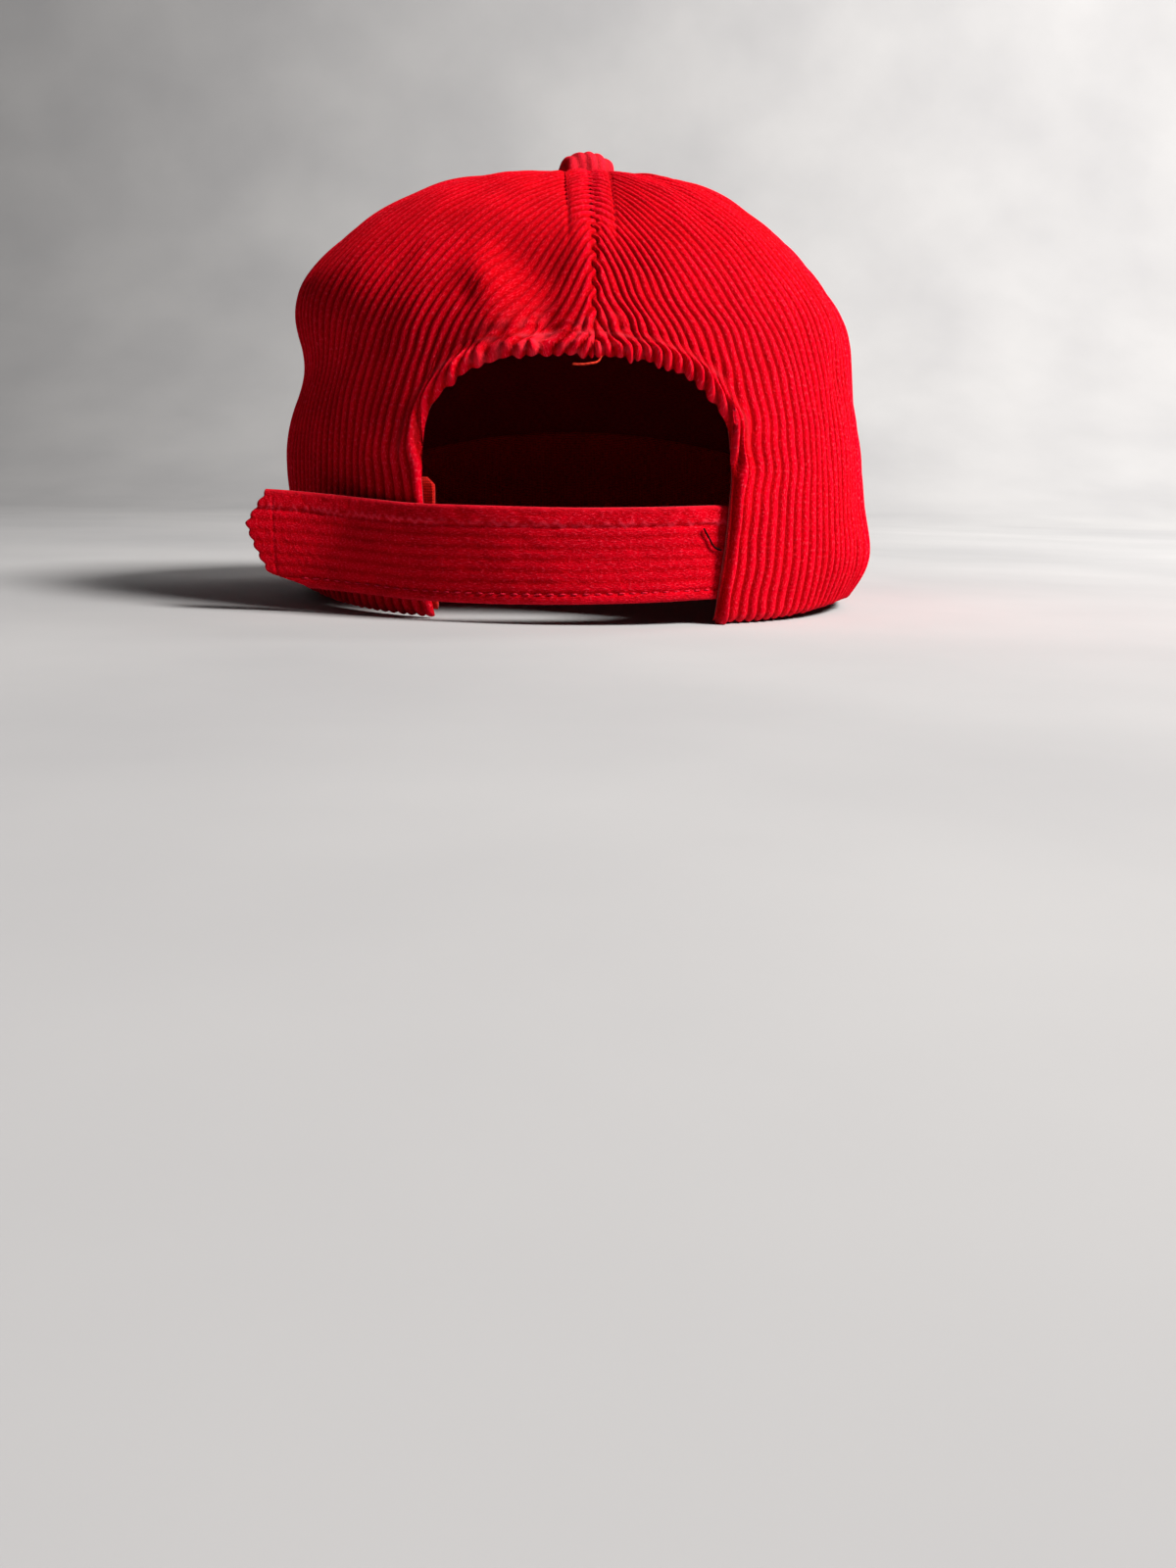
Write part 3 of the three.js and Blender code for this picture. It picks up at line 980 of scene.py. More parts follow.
        edge_share = np.clip(1 - abs(flat) / self.half_width, 0, 1)
        inner = smooth(0.0, 0.08, edge_share) * smooth(0.0, 0.02, level)
        inner = inner * smooth(0.0, 0.03, end - level)
        height = level * CROWN_MM
        bare = dome.base(dome.slew(self.azimuth(flat, level)), level)
        if self.open_side:
            open_by, towards = self.opening.distance(bare, self.half_widths)
        else:
            open_by, towards = np.full(len(flat), 99.0), np.zeros((len(flat), 3))
        near_open = bump(np.maximum(open_by, 0), 11)
        # Over the opening, beside the seam, the cords are rubbed into clumps.
        clumped = bump(np.maximum(open_by - 4, 0), 7) * bump(bare[:, 0] + 5, 22)
        clumped = clumped * smooth(50, 66, bare[:, 2])
        inner = inner * smooth(0.0, 3.0, open_by)
        seed = int(self.middle) % 97
        sway = 0.45 * drift(flat / 14, height / 16, seed) + 0.24 * drift(flat / 6, height / 8, seed + 1)
        sway += bump(open_by, 24) * 1.4 * drift(flat / 30, height / 8, seed + 2)
        sway += clumped * 2.2 * drift(flat / 5, height / 5, seed + 4)
        sway += self.pinch * bump(height - 43, 4.5) * bump(open_by, 16)
        azimuth = self.azimuth(flat + sway * inner, level)
        turn = np.radians(abs((azimuth - self.middle + 180) % 360 - 180))
        stride = dome.stride(azimuth, level)
        seam_by = np.maximum((math.radians(self.half_span) - turn) * stride, 0)
        azimuth = dome.slew(azimuth + np.degrees(self.tooth(azimuth, level, seam_by) / stride))
        base = dome.base(azimuth, level)
        normal = dome.normal(azimuth, level)
        rim_by = np.maximum(base[:, 2] - dome.rim(azimuth), 0)
        open_by = np.maximum(open_by, 0)

        relief = dome.relief(azimuth, level) + dome.relief(azimuth, level, dome.wrinkles)
        relief += 0.4 * drift(azimuth / 7, level * 12, 5) * smooth(0, 0.1, level)
        relief += near_open * 0.7 * drift(azimuth / 9, level * 26, 7) * smooth(0.0, 0.06, level)
        relief += clumped * 1.1 * drift(flat / 3.2, height / 6, seed + 5)

        arched = smooth(-4, 6, bare[:, 2] - self.opening.spring)
        # The hem is pulled outwards as it is rolled under, so that its cords lie aslant.
        slant = 0.5 * np.maximum(self.hem_stitch - open_by, 0) * self.open_side * arched
        crest = cord.crest(flat + self.phase + slant)
        tacked, strip = 1.0, np.zeros(len(flat))
        if self.lay is Lay.LEANING:
            # High up, the allowance sewn down beside the seam turns the cords level.
            tacked = smooth(0.45, 0.62, level)
            gone = self.sewn_in(level + 0.45 * seam_by / CROWN_MM)
            meeting = self.half_width * (1 - 2 * gone) * self.open_side
            level_crest = cord.crest(meeting + self.phase)
            strip = (1 - smooth(6.0, 6.5, seam_by)) * smooth(0.5, 0.58, level) * (abs(bare[:, 0]) < 20)
            crest = mix(crest, level_crest, strip)
        off_stitch = open_by - self.hem_stitch - 0.7 * drift(flat / 4, height / 4, seed + 6)
        pinch_line = arched * bump(off_stitch, 0.5)
        pressed = 1 + 0.22 * drift(flat / cord.pitch, height / 9, seed + 3)
        pressed *= 1 + 0.35 * bump(seam_by - 2.2, 1.8) + 0.8 * bump(open_by - 1.2, 1.8)
        pressed *= 1 + 0.6 * drift(flat / cord.pitch, open_by / 3, seed + 8) * bump(open_by, 4)
        pressed *= 1 - 0.45 * tacked * bump(seam_by - self.seam_stitch, 0.5) - 0.6 * pinch_line
        # Left of the seam the cords are rubbed nearly smooth, and towards the top they lie flatter.
        rubbed = bump(bare[:, 0] + 15, 15) * bump(bare[:, 2] - 90, 17) * (bare[:, 1] < 0)
        pressed *= (1 - 0.4 * rubbed) * (1 - 0.28 * smooth(0.34, 0.58, level))
        sunk = 1 - 0.8 * strip
        pressed *= 1 - (1 - smooth(-0.8, 1.0, seam_by)) * sunk
        raised = crest * cord.height * pressed

        sewn = tacked * (0.25 * bump(seam_by - 3.3, 2.3) - 0.35 * bump(seam_by - self.seam_stitch, 0.5))
        sewn -= 0.45 * bump(seam_by, 0.7) * smooth(0.0, 8.0, rim_by) * sunk
        hem = 0.6 * bump(open_by - 1.9, 1.6) * arched + 0.35 * pinch_line
        hem -= 0.35 * arched * bump(open_by - self.hem_stitch - 1.6, 0.9)
        rim_turn = np.clip((self.hem_roll - rim_by) / self.hem_roll, 0, 1)
        open_turn = np.clip((self.hem_roll - open_by) / self.hem_roll, 0, 1)
        rolled = 2 - np.sqrt(1 - 0.96 * rim_turn**2) - np.sqrt(1 - 0.96 * open_turn**2)
        rolled = np.minimum(self.hem_roll * rolled, self.hem_roll)
        down = np.array([0.0, 0.0, -1.0])
        tangent = unit(towards - normal * np.sum(towards * normal, axis=-1, keepdims=True) + 1e-9)
        facing = unit(
            normal * np.sqrt(np.maximum(1 - rim_turn**2 * 0.9 - open_turn**2 * 0.9, 0.02))[:, None]
            + down * rim_turn[:, None] + tangent * open_turn[:, None]
        )
        face = base + normal * (relief + sewn + hem - rolled)[:, None] + facing * raised[:, None]
        lining = base + normal * (relief - self.thickness)[:, None]
        points = np.where(outside[:, None], face, lining)
        points[:, 2] += dome.lift(azimuth) * np.exp(-rim_by / 5) * (dome.rim(azimuth) < 2)
        points[:, 2] = np.maximum(points[:, 2], 0.0)

        frayed = smooth(-0.3, 0.8, drift(flat / 2, open_by, seed + 9))
        wear = 0.4 * pinch_line * smooth(-0.5, 0.5, drift(flat / 5, height / 5, seed + 10))
        wear += 0.15 * frayed * arched * bump(open_by, 2.0) + 0.2 * bump(rim_by, 1.5)
        wear += 0.4 * clumped * frayed
        # Painted shade: rib follows the cords' height and pressing, so grooves and pressed stitch lines
        # are drawn darker.
        rib = np.where(outside, mix(crest**1.8 * np.clip(pressed, 0, 1.15), 0.5, 0.5 * rubbed), 0.5)
        # Painted shade: the seam's valley is drawn darker still.
        rib = rib * (1 - 0.3 * bump(seam_by, 0.7) * smooth(0.0, 8.0, rim_by) * sunk)
        cloth = np.stack([flat, height], axis=-1)
        return Surface(points, cloth, np.clip(rib, 0, 1), np.clip(wear, 0, 1) * outside)

    def tooth(self, azimuth: Array, level: Array, seam_by: Array) -> Array:
        """Give how far cord ends reach across the middle seam, between those of the other panel.

        Args:
            azimuth: Azimuths.
            level: Levels.
            seam_by: Millimetres from the nearest seam.

        Returns:
            Millimetres towards greater azimuth.
        """
        if self.lay is Lay.STRAIGHT:
            return np.zeros(len(level))
        meeting = self.half_width * (1 - 2 * self.sewn_in(level))
        reach = 0.6 * np.cos(2 * np.pi * meeting / self.cord.pitch) * bump(seam_by, 1.6)
        return reach * (abs(azimuth) > 150) * smooth(0.36, 0.4, level) * (1 - smooth(0.75, 0.9, level))

    def keep(self, column: Array, row: Array) -> Array:
        """Leave out the cells that the opening takes."""
        over = self.over[column.astype(int)] | self.over[column.astype(int) + 1]
        return (row >= self.low_rows) | ~over

    def build(self) -> None:
        """Make the panel."""
        rows = self.low_rows + self.high_rows
        data = cloth_wall(self.name, len(self.flat) - 1, rows, self.shape, self.keep)
        finishes = (CORDUROY, CLOTH_BACK)
        finish_object(f"{self.name}_cloth", data, finishes, (self.name,))


# ------------------------------------------------------------------------------------- the visor


@dataclass
class Visor:
    """The visor, with a ribbed cover on top and a plain one underneath."""

    dome: Dome
    cord: Cord = field(default_factory=lambda: Cord(height=0.6, samples=6))
    half_span: float = 58.0
    reach: float = 70.0
    half_width: float = 83.0
    corner: float = 46.0
    cover: float = 1.4
    clearance: float = 0.4
    depth: float = 60.0  # from the crown to the edge, for spacing the stitches
    side_run: float = 80.0  # from the middle to a side
    rows: int = 48
    under_columns: int = 160
    stitch_rows: int = 6

    def stitch_line(self, number: int) -> int:
        """Give how far in from the edge a row of stitches is."""
        return 4 + 8 * number

    def face(self, across: Array, out: Array) -> Array:
        """Give points of the smooth top face.

        Args:
            across: -1 to 1 from side to side.
            out: 0 at the crown to 1 at the edge.

        Returns:
            The points.
        """
        azimuth = self.half_span * across
        inner = self.dome.point(azimuth, np.zeros_like(azimuth), -1.3)
        sweep = np.radians(90 * across)
        outer_x = self.half_width * np.sin(sweep)
        tip = self.dome.half_length + self.reach
        outer_y = mix(self.corner, tip, np.maximum(np.cos(sweep), 0) ** 0.92)
        outer_arch = self.dome.rim(np.degrees(np.arcsin(outer_x / self.dome.half_width)))
        arch = mix(self.dome.rim(azimuth), outer_arch, out) - self.clearance
        rest = 2 * self.cover + self.clearance
        height = (arch + rest + np.hypot(arch - rest, 0.5)) / 2
        x, y = mix(inner[..., 0], outer_x, out), mix(inner[..., 1], outer_y, out)
        return np.stack([x, y, height], axis=-1)

    def shape(
        self, column: Array, row: Array, outside: Array, columns: int, ribbed: bool
    ) -> Surface:
        """Place the points of one cover.

        Args:
            column: Column numbers.
            row: Row numbers.
            outside: True for points of the visible face.
            columns: How many columns there are.
            ribbed: True for the top cover, which has cords.

        Returns:
            The surface.
        """
        across = 2 * column / columns - 1
        out = steps(self.rows)[row]
        points = self.face(across, out)
        inward = (1 - out) * self.depth
        edge_by = np.maximum(np.minimum(inward, (1 - abs(across)) * self.side_run), 0)
        roll = 0.7 * edge_fall(edge_by)
        lines = (self.stitch_line(n) for n in range(self.stitch_rows))
        sewn = sum(bump(inward - line, 0.8) for line in lines) * 0.25
        crest = self.cord.crest(points[:, 0]) if ribbed else np.full(len(out), 0.5)
        rise = crest * self.cord.height * (1 - sewn * 2) - sewn if ribbed else -sewn
        if ribbed:
            # The inner edge is tucked up into the front panel's lower edge.
            tuck = 1.1 * bump(out * self.depth, 1.4)
            lift = np.where(outside, rise - roll - 0.25 + tuck, -self.cover)
        else:
            lift = np.where(outside, -self.cover + roll * 0.8 + sewn, 0.0)
            lift -= self.cover + self.clearance
        points[:, 2] += lift
        wear = bump(edge_by, 1.5) * 0.6 * outside
        # Painted shade: the cords' height goes to the material as rib, which draws the grooves darker.
        return Surface(points, points[:, :2].copy(), np.clip(crest, 0, 1) * outside, wear)

    def build(self) -> None:
        """Make both covers."""
        columns = int(2 * self.half_width / self.cord.pitch * self.cord.samples)
        covers = (
            ("visor_top", columns, True, (CORDUROY, CLOTH_BACK), "corduroy"),
            ("visor_under", self.under_columns, False, (VISOR_LINING, VISOR_LINING), "visor_lining"),
        )
        for name, count, ribbed, finishes, slot in covers:
            place = partial(self.shape, columns=count, ribbed=ribbed)
            data = cloth_wall(name, count, self.rows, place)
            finish_object(f"{name}_cover", data, finishes, (name,))


# -------------------------------------------------------------------------- band, strap and patch


@dataclass
class Sweatband:
    """The cotton band that lines the rim."""

    dome: Dome
    opening: Opening
    top: float = 0.19
    past_opening: float = 4.4
    corner: float = 2.6  # the radius of its upper corner beside the opening
    strap_room: float = 13.0  # degrees short of the opening where the strap is sewn in
    thickness: float = 1.0
    stand: float = -2.0
    radius: float = 92.0
    height: float = 32.0
    columns: int = 900
    rows: int = 20

    def shape(self, column: Array, row: Array, outside: Array) -> Surface:
        """Place the points of the band.

        Args:
            column: Column numbers.
            row: Row numbers.
            outside: True for points of the face that looks in at the head.

        Returns:
            The surface.
        """
        dome, up = self.dome, row / self.rows
        level = mix(0.004, self.top, up)
        cut = 1 - np.minimum((self.rows - row) / self.rows * self.height / self.corner, 1)
        start = -self.opening.side - dome.turn_of(self.past_opening)
        start = start + dome.turn_of(self.corner * (1 - np.sqrt(1 - cut**2)))
        azimuth = mix(start, self.opening.side - self.strap_room, column / self.columns)
        arc = np.radians(azimuth - start) * self.radius
        edge = np.minimum(row, self.rows - row) / self.rows * self.height
        rolled = 0.35 * bump(edge, 0.9)
        ribs = 0.12 * np.cos(2 * np.pi * arc / 1.6)
        inward = self.thickness - rolled + ribs * smooth(0, 2, edge)
        points = dome.point(azimuth, level, self.stand - np.where(outside, inward, rolled))
        raised = (dome.lift(azimuth) + 0.8) * np.exp(-points[:, 2] / 8)
        points[:, 2] += raised * (dome.rim(azimuth) < 2)
        return Surface(points, np.stack([arc, level * CROWN_MM], axis=-1))

    def build(self) -> None:
        """Make the band."""
        data = cloth_wall("sweatband", self.columns, self.rows, self.shape)
        finishes = (BAND_COTTON, BAND_COTTON)
        finish_object("sweatband_cotton", data, finishes, ("sweatband",))


@dataclass
class Strap:
    """The strap across the opening: sewn in on the right, with a free end on the left."""

    dome: Dome
    tip: float = 0.65  # how far up the free end its foremost cord is
    upper_cut: float = 9.5  # how far the end's corners are cut back
    lower_cut: float = 11.0
    corner_cut: float = 14.0
    width: float = 25.0  # from the lower edge to the upper one
    thickness: float = 2.0
    columns: int = 330
    rows: int = 72
    cord: Cord = field(default_factory=lambda: Cord(pitch=2.9, height=0.09))
    hem: float = 5.0
    low_stitch: float = 2.7
    # Turn from the middle of the back towards the right, how far the strap stands off the crown,
    # and the heights of its two edges.
    way: tuple[tuple[float, ...], ...] = (
        (38, -3.0, 6.9, 32.3),
        (27, -3.0, 6.9, 32.3),
        (14, -1.2, 6.3, 31.7),
        (0, 0.6, 5.7, 31.2),
        (-14, 1.9, 5.3, 31.2),
        (-28, 2.9, 5.2, 31.3),
        (-37, 4.3, 5.8, 32.1),
        (-44, 9.0, 6.5, 33.0),
        (-49, 16.5, 7.0, 33.8),
        (-52.5, 25.0, 7.2, 34.2),
    )

    def middle(self, place: Array, height: Array) -> Array:
        """Give points of the strap's middle sheet.

        Args:
            place: 0 at the sewn end to 1 at the free end.
            height: Height above the surface.

        Returns:
            The points.
        """
        turn, stand, _, _ = np.moveaxis(along(np.array(self.way, float), place), -1, 0)
        azimuth = 180 - turn
        level = self.dome.level_at(azimuth, height)
        outward = self.dome.normal(azimuth, level)
        outward[..., 2] = 0
        points = self.dome.point(azimuth, level) + unit(outward) * stand[..., None]
        points[..., 2] = height
        return points

    def height(self, place: Array, up: Array | float) -> Array:
        """Give the height of a point of the strap, 0 to 1 up from its lower edge."""
        _, _, low, high = np.moveaxis(along(np.array(self.way, float), place), -1, 0)
        return mix(low, high, up)

    def recess(self, up: Array) -> Array:
        """Give how far the free end is cut back, 0 to 1 up from the strap's lower edge."""
        above = np.maximum(up - self.tip, 0) / (1 - self.tip)
        below = np.maximum(self.tip - up, 0) / self.tip
        scallop = 1.3 * (1 - self.cord.crest(up * self.width + self.cord.pitch / 2))
        cut = self.upper_cut * above + self.lower_cut * below**1.2
        cut += self.corner_cut * smooth(0.75, 1.0, below)
        return cut + scallop * smooth(0.12, 0.2, up)

    def length(self) -> float:
        """Measure the strap along its middle."""
        place = np.linspace(0, 1, 200)
        line = self.middle(place, np.full(200, 18.0))
        return float(np.linalg.norm(np.diff(line, axis=0), axis=1).sum())

    def shape(self, column: Array, row: Array, outside: Array) -> Surface:
        """Place the points of the strap.

        Args:
            column: Column numbers.
            row: Row numbers.
            outside: True for points of the outer face.

        Returns:
            The surface.
        """
        length = self.length()
        up = steps(self.rows, (0.3, 0.5, 0.8))[row]
        place = column / self.columns * (1 - self.recess(up) / length)
        from_tip = (1 - column / self.columns) * length
        height = self.height(place, up)
        middle = self.middle(place, height)
        ahead = self.middle(np.minimum(place + 0.01, 1), height)
        ahead -= self.middle(np.maximum(place - 0.01, 0), height)
        outward = unit(np.stack([ahead[:, 1], -ahead[:, 0], np.zeros(len(up))], axis=-1))
        outward *= np.sign(np.sum(outward * middle, axis=-1))[:, None]

        wide, run = up * self.width, place * length
        from_top, from_low = self.width - wide, wide
        crest = self.cord.crest(wide + self.cord.pitch * 0.5)
        ribbed = smooth(self.hem - 0.6, self.hem + 0.4, from_top) * smooth(2.0, 3.0, from_low)
        fuzz = drift(run / 1.6, wide / 1.1, 21)
        waves = 0.35 * drift(run / 16, wide / 14, 23)
        edge = np.minimum(np.minimum(from_top, from_low), from_tip)
        lift = crest * self.cord.height * ribbed + 0.28 * (1 - ribbed) + 0.10 * fuzz
        lift -= 0.32 * bump(from_top - self.hem, 0.5) + 0.3 * bump(from_low - self.low_stitch, 0.45)
        lift -= 0.25 * bump((1 - place) * length - 12.5, 0.5) * smooth(0.5, 3.0, edge)
        lift += waves - 0.8 * edge_fall(edge) - 0.2
        stand = np.where(outside, self.thickness / 2 + lift, -self.thickness / 2 + waves)
        points = middle + outward * stand[:, None]
        # Painted shade: rib follows the cords' height, and the material draws the grooves darker.
        rib = np.where(outside, mix(0.7 + 0.25 * fuzz, crest, ribbed * 0.6), 0.5)
        zigzag = 0.5 * np.sin(2 * np.pi * run / 2.6)
        wear = 0.9 * bump(from_top - self.hem + 0.6 + zigzag, 0.5) * smooth(-0.6, 0.3, fuzz)
        wear = np.clip(wear + 0.3 * bump(edge, 0.8), 0, 1) * outside
        return Surface(points, np.stack([wide, run], axis=-1), np.clip(rib, 0, 1), wear)

    def build(self) -> None:
        """Make the strap."""
        data = cloth_wall("back_strap", self.columns, self.rows, self.shape)
        finishes = (STRAP_CORDUROY, CLOTH_BACK)
        finish_object("back_strap_cloth", data, finishes, ("back_strap",))


@dataclass
class ClosurePatch:
    """The fastener between the left panel and the strap, which the strap hides."""

    dome: Dome
    opening: Opening
    thickness: float = 1.1
    clearance: float = 0.4
    width: float = 9.0  # degrees of the crown
    past_opening: float = 3.0
    overlap: float = 2.0  # degrees that it reaches under the panel's edge
    cells: int = 12

    def shape(self, column: Array, row: Array, outside: Array) -> Surface:
        """Place the points of the patch.

        Args:
            column: Column numbers.
            row: Row numbers.
            outside: True for points of the outer face.

        Returns:
            The surface.
        """
        end = -self.opening.side - self.dome.turn_of(self.past_opening) + self.overlap
        azimuth = mix(end + self.width, end, column / self.cells)
        level = mix(0.055, 0.145, row / self.cells)
        edge = np.minimum(
            np.minimum(column, self.cells - column), np.minimum(row, self.cells - row)
        )
        stand = self.clearance + np.where(outside, self.thickness - 0.4 * (edge < 1), 0)
        points = self.dome.point(azimuth, level, stand)
        return Surface(points, np.stack([azimuth * 1.6, level * CROWN_MM], axis=-1))

    def build(self) -> None:
        """Make the patch."""
        data = cloth_wall("closure_patch", self.cells, self.cells, self.shape)
        finishes = (FASTENER, FASTENER)
        finish_object("closure_patch_pad", data, finishes, ("closure_patch",))


# ------------------------------------------------------------------------------------ the button


@dataclass
class TopButton:
    """The covered button with its stem and the disc inside."""

    dome: Dome
    radius: float = 9.2
    height: float = 8.7
    stem: float = 2.4
    disc: float = 5.0
    disc_thickness: float = 1.2
    clearance: float = 0.4
    cloth: float = 1.6
    cord: Cord = field(default_factory=lambda: Cord(height=0.55))

    def build(self) -> None:
        """Make the button by spinning its outline, and wrap it in cords."""
        seat = float(self.dome.base(np.array(180.0), self.dome.hole_level())[2])
        inside = -self.cloth - self.clearance
        low = inside - self.disc_thickness
        outline = [(0, low), (self.disc, low), (self.disc, inside), (self.stem, inside)]
        outline += [(self.stem, self.clearance), (self.radius - 0.5, self.clearance)]
        for n in range(25):
            sweep = math.radians(-12 + 102 * n / 24)
            out = self.radius * max(math.cos(sweep), 0) ** 0.8 if n < 24 else 0.0
            swell = 0.18 + 0.82 * math.sin(max(sweep, -0.2))
            outline.append((out, self.clearance + self.height * swell))
        body = bmesh.new()
        ring = [body.verts.new((out, 0, up + seat)) for out, up in outline]
        edges = [body.edges.new(pair) for pair in zip(ring, ring[1:])]
        bmesh.ops.spin(
            body, geom=ring + edges, axis=(0, 0, 1), cent=(0, 0, 0), steps=96,
            angle=2 * math.pi, use_merge=True,
        )
        bmesh.ops.remove_doubles(body, verts=list(body.verts), dist=1e-4)
        bmesh.ops.recalc_face_normals(body, faces=list(body.faces))
        data = to_data(body, "top_button")

        points = read_points(data)
        x, y, z = points.T
        over = smooth(seat + self.clearance + 0.2, seat + self.clearance + 1.5, z)
        across = x * 0.94 + y * 0.34 + 0.5 * drift(x / 3, y / 3, 31)
        crest = self.cord.crest(across)
        outward = unit(np.stack([x, y, (z - seat) * 1.6 + 1e-3], axis=-1))
        tucks = drift(np.arctan2(y, x) * 2.4, z / 9, 33) * bump(np.hypot(x, y) - self.radius, 1.5)
        stand = crest * self.cord.height + 0.9 * tucks - 0.3 + 0.35 * drift(x / 5, y / 5, 35)
        points = points + outward * (over * stand)[:, None]
        points[:, 2] += over * (0.05 * points[:, 0])
        data.vertices.foreach_set("co", to_frame(points).ravel())
        cloth = np.stack([across, points[:, 1] + points[:, 2]], axis=-1)
        # Painted shade: the cords' height goes to the material as rib, which draws the grooves darker.
        dress_points(data, Surface(points, cloth, crest, 0.35 * over))
        data.update()
        finish_object("top_button_cloth", data, (CORDUROY,), ("top_button",))


# ------------------------------------------------------------------------------------- stitching


@dataclass
class Stitching:
    """Rows of stitches, each row a run of short capsules of thread."""

    panels: Sequence[Panel]
    visor: Visor
    strap: Strap
    length: float = 2.2
    space: float = 1.0
    radius: float = 0.26

    def lay(self, body: bmesh.types.BMesh, line: Array, facing: Array) -> None:
        """Lay stitches along a line.

        Args:
            body: The mesh that collects them.
            line: Points along the row.
            facing: The way the cloth faces at each point.
        """
        steps_along = np.linalg.norm(np.diff(line, axis=0), axis=1)
        far = np.concatenate([[0], np.cumsum(steps_along)])
        count = int(far[-1] / (self.length + self.space))
        for n in range(count):
            centre = (n + 0.5) * (self.length + self.space)
            ends = (centre - 0.5, centre, centre + 0.5)
            at = [np.array([np.interp(end, far, line[:, k]) for k in range(3)]) for end in ends]
            up = Vector([np.interp(centre, far, facing[:, k]) for k in range(3)]).normalized()
            run = Vector(at[2] - at[0]).normalized()
            side = up.cross(run).normalized()
            turn = Matrix((run, side, run.cross(side))).transposed().to_4x4()
            where = Matrix.Translation(Vector(to_frame(at[1]))) @ turn
            size = Matrix.Diagonal((self.length / 2 * MM, self.radius * MM, self.radius * MM, 1))
            bmesh.ops.create_icosphere(body, subdivisions=1, radius=1.0, matrix=where @ size)

    def seam_lines(self) -> list[tuple[Array, Array]]:
        """Trace the rows beside the seams.

        Returns:
            The points and facings of each row.
        """
        rows = []
        for panel in self.panels:
            for side in (-1, 1):
                foot = 0.52 if panel.open_side == side else 0.03
                level = np.linspace(foot, panel.top_level - 0.045, 220)
                edge = np.full(220, panel.middle + side * panel.half_span)
                azimuth = edge - side * np.degrees(panel.seam_stitch / panel.dome.stride(edge, level))
                azimuth = panel.dome.slew(azimuth)
                rows.append((panel.dome.point(azimuth, level, 0.05), panel.dome.normal(azimuth, level)))
        return rows

    def strap_lines(self) -> list[tuple[Array, Array]]:
        """Trace the row along the strap's lower hem.

        Returns:
            The points and facings of each row.
        """
        strap = self.strap
        place = np.linspace(0.12, 0.88, 260)
        line = strap.middle(place, strap.height(place, strap.low_stitch / strap.width))
        run = unit(np.gradient(line, axis=0))
        outward = np.stack([run[:, 1], -run[:, 0], np.zeros(260)], axis=-1)
        outward *= np.sign(np.sum(outward * line, axis=-1))[:, None]
        return [(line + outward * (strap.thickness / 2 - 0.16), outward)]

    def visor_lines(self) -> list[tuple[Array, Array]]:
        """Trace the rows that follow the visor's edge, on top and underneath.

        Returns:
            The points and facings of each row.
        """
        rows = []
        across = np.linspace(-0.97, 0.97, 300)
        for n in range(self.visor.stitch_rows):
            out = np.full(300, 1 - self.visor.stitch_line(n) / self.visor.depth)
            face = self.visor.face(across, out)
            up = np.tile([0.0, 0.0, 1.0], (300, 1))
            rows.append((face + up * 0.2, up))
            under = face - up * (2 * self.visor.cover + self.visor.clearance - 0.1)
            under[:, 2] = np.maximum(under[:, 2], self.radius + 0.02)
            rows.append((under, -up))
        return rows

    def build(self) -> None:
        """Sew all the rows."""
        groups = {
            "seam_stitches": (self.seam_lines(), THREAD, "corduroy"),
            "strap_stitches": (self.strap_lines(), STRAP_THREAD, "strap_corduroy"),
            "visor_stitches": (self.visor_lines(), THREAD, "corduroy"),
        }
        for name, (rows, thread, slot) in groups.items():
            body = bmesh.new()
            for line, facing in rows:
                self.lay(body, line, facing)
            finish_object(name, to_data(body, name), (thread,))


# From the thread's free tip up into the hem, and from the strap's hem down its face.
ORANGE_WAY = (
    (-1.2, -92.2, 67.8), (1, -92.8, 67.7), (3.5, -92.8, 68.0), (5.5, -92.2, 68.6), (6.6, -91.5, 70.6),
)
DARK_WAY = ((35, -88.3, 26.2), (36.5, -87.4, 23.7), (38.2, -86.4, 21.2), (40.2, -85.3, 20.3))


@dataclass
class LooseThread:
    """A short end of thread."""

    name: str
    points: tuple[Triple, ...]
    finish: SpunThread
    slot: str
    radius: float = 0.28
    lengths: int = 15

    def build(self) -> None:
        """Make the thread as a thin round tube."""
        last = self.lengths
        line = along(np.array(self.points, float), np.linspace(0, 1, last + 1))
        body = bmesh.new()
        rings = []
        for n, centre in enumerate(line):
            run = Vector(line[min(n + 1, last)] - line[max(n - 1, 0)])
            turn = run.to_track_quat("Z", "Y").to_matrix().to_4x4()
            where = Matrix.Translation(Vector(to_frame(centre))) @ turn
            ring = bmesh.ops.create_circle(
                body, cap_ends=n in (0, last), segments=6, radius=self.radius * MM, matrix=where
            )
            rings.append(ring["verts"])
        for lower, upper in zip(rings, rings[1:]):
            edges = {edge for vert in lower + upper for edge in vert.link_edges}
            pair = set(lower), set(upper)
            loops = [edge for edge in edges if any(set(edge.verts) <= ring for ring in pair)]
            bmesh.ops.bridge_loops(body, edges=loops)
        bmesh.ops.recalc_face_normals(body, faces=list(body.faces))
        finish_object(self.name, to_data(body, self.name), (self.finish,))


# ---------------------------------------------------------------------------------------- studio


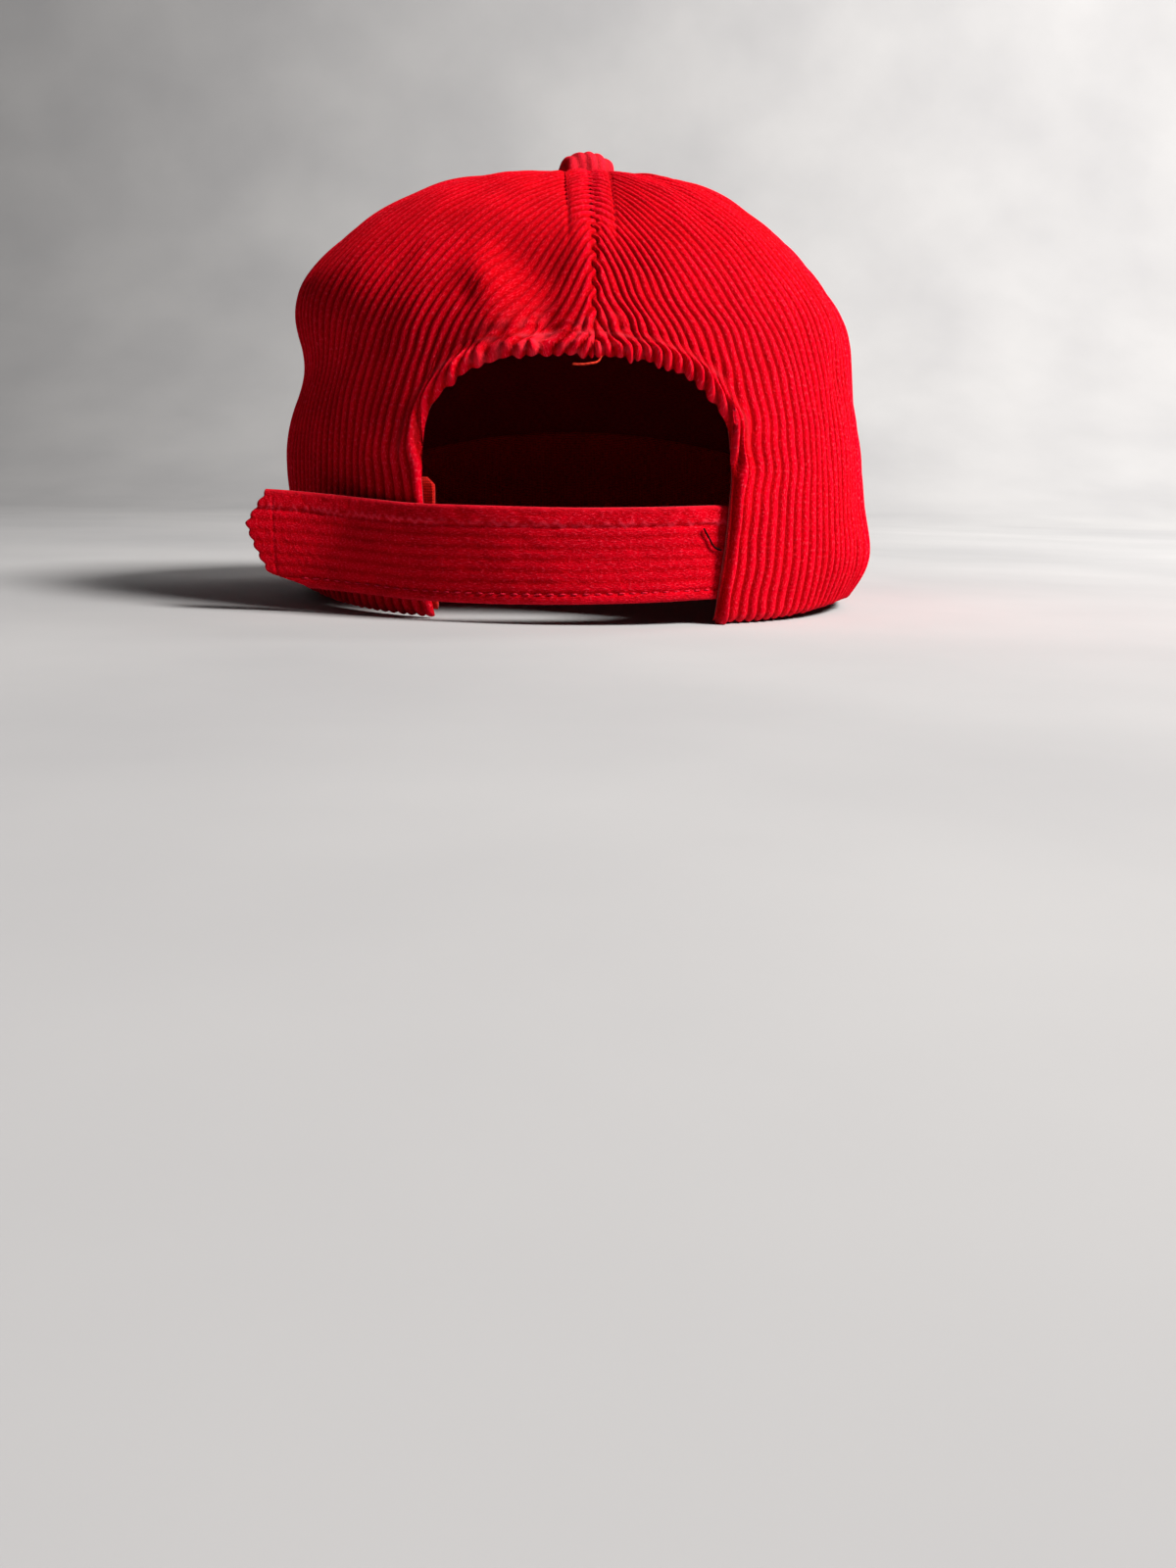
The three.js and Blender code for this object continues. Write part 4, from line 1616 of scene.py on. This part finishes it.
@dataclass
class Studio:
    """The floor, the lights and the camera."""

    camera_at: tuple[float, float, float] = (5.2, -470.0, 39.5)  # from under the crown
    pitch: float = -12.5
    roll: float = 1.23
    lens: float = 31.95
    # The board, in metres: its width, its length along the curve, how far behind the cap's middle
    # it starts, how far its level part goes, and the radius and run of its curve.
    board: tuple[float, ...] = (9.0, 6.0, 1.8, 0.9, 0.7, 1.1)

    def floor(self) -> None:
        """Make a pale floor that curves up beyond the cap."""
        width, length, start, level, radius, curve = self.board
        sheet = bmesh.new()
        bmesh.ops.create_grid(sheet, x_segments=1, y_segments=64, size=0.5)
        for vert in sheet.verts:
            run = (vert.co.y + 0.5) * length - start
            bend = min(max((run - level) / curve, 0), 1) * math.pi / 2
            vert.co.x *= width
            vert.co.y = min(run, level) + radius * math.sin(bend)
            vert.co.z = radius * (1 - math.cos(bend)) + max(run - level - curve, 0)
        bmesh.ops.recalc_face_normals(sheet, faces=list(sheet.faces))
        data = to_data(sheet, "studio_floor")
        data.shade_smooth()
        data.materials.append(STUDIO.material())
        board = bpy.data.objects.new("studio_floor", data)
        bpy.context.scene.collection.objects.link(board)

    def lamp(
        self, name: str, at: Triple, size: float, power: float, tint: str, target: Triple = (0, 0, 0.06)
    ) -> None:
        """Add a soft square lamp.

        Args:
            name: The lamp's name.
            at: Where it is, in metres from under the crown.
            size: Its width in metres.
            power: Its power in watts.
            tint: Its colour.
            target: Where it points, which is the cap if nothing else is given.
        """
        light = bpy.data.lights.new(name, "AREA")
        light.size = size
        light.energy = power
        light.color = linear(tint)[:3]
        holder = bpy.data.objects.new(name, light)
        holder.location = Vector(at) + Vector(SHIFT)
        aim = Vector(target) - Vector(at)
        holder.rotation_euler = aim.to_track_quat("-Z", "Y").to_euler()
        bpy.context.scene.collection.objects.link(holder)

    def camera(self) -> None:
        """Add the camera behind the cap."""
        data = bpy.data.cameras.new("camera")
        data.sensor_width = 36
        data.lens = self.lens
        data.clip_start = 0.01
        holder = bpy.data.objects.new("camera", data)
        tilt = Matrix.Rotation(math.radians(90 + self.pitch), 4, "X")
        turn = tilt @ Matrix.Rotation(math.radians(self.roll), 4, "Z")
        at = Vector(to_frame(np.array(self.camera_at)))
        holder.matrix_world = Matrix.Translation(at) @ turn
        bpy.context.scene.collection.objects.link(holder)
        bpy.context.scene.camera = holder

    def build(self) -> None:
        """Set up the studio."""
        self.floor()
        self.lamp("key", (0.94, -0.42, 1.03), 0.4, 41.0, "#fffaf6")
        self.lamp("fill", (-0.3, -1.3, 0.5), 0.9, 0.1, "#f4f6ff")
        self.lamp("wall", (0.9, 0.6, 1.1), 0.8, 24.0, "#fffaf6", (0.6, 1.7, 0.3))
        world = bpy.data.worlds.new("studio")
        bpy.context.scene.world = world
        world.use_nodes = True
        # The room beyond the board is pale to look at, and gives next to no light of its own.
        tree = world.node_tree
        sky = tree.nodes["Background"]
        sky.inputs["Color"].default_value = linear("#c9ccd0")
        seen = node(tree, "ShaderNodeLightPath").outputs["Is Camera Ray"]
        room = node(tree, "ShaderNodeMapRange", {"Value": seen, "To Min": 0.03, "To Max": 0.8})
        tree.links.new(room.outputs["Result"], sky.inputs["Strength"])
        self.camera()


# ------------------------------------------------------------------------------------------ main


def main() -> None:
    """Build the cap and its studio, piece by piece."""
    logging.basicConfig(level=logging.INFO, format="%(message)s")
    bpy.context.scene.view_settings.view_transform = "Standard"
    Studio().build()
    dome = Dome()
    opening = Opening()
    back = {"lay": Lay.LEANING, "high_rows": 130}
    panels = [
        Panel("front_panel", 0, 60, dome, opening, cord=Cord(samples=6), low_rows=20, high_rows=44),
        Panel("side_panel_right", 84, 24, dome, opening),
        Panel("back_panel_right", 144, 36, dome, opening, open_side=1, pinch=1.5, **back),
        Panel("back_panel_left", -144, 36, dome, opening, open_side=-1, **back),
        Panel("side_panel_left", -84, 24, dome, opening),
    ]
    for panel in panels:
        panel.build()
    TopButton(dome).build()
    visor = Visor(dome)
    visor.build()
    Sweatband(dome, opening).build()
    strap = Strap(dome)
    strap.build()
    ClosurePatch(dome, opening).build()
    Stitching(panels, visor, strap).build()
    LooseThread("loose_thread_orange", ORANGE_WAY, LOOSE_ORANGE, "corduroy").build()
    LooseThread("loose_thread_dark", DARK_WAY, LOOSE_DARK, "strap_corduroy").build()


if __name__ == "__main__":
    main()
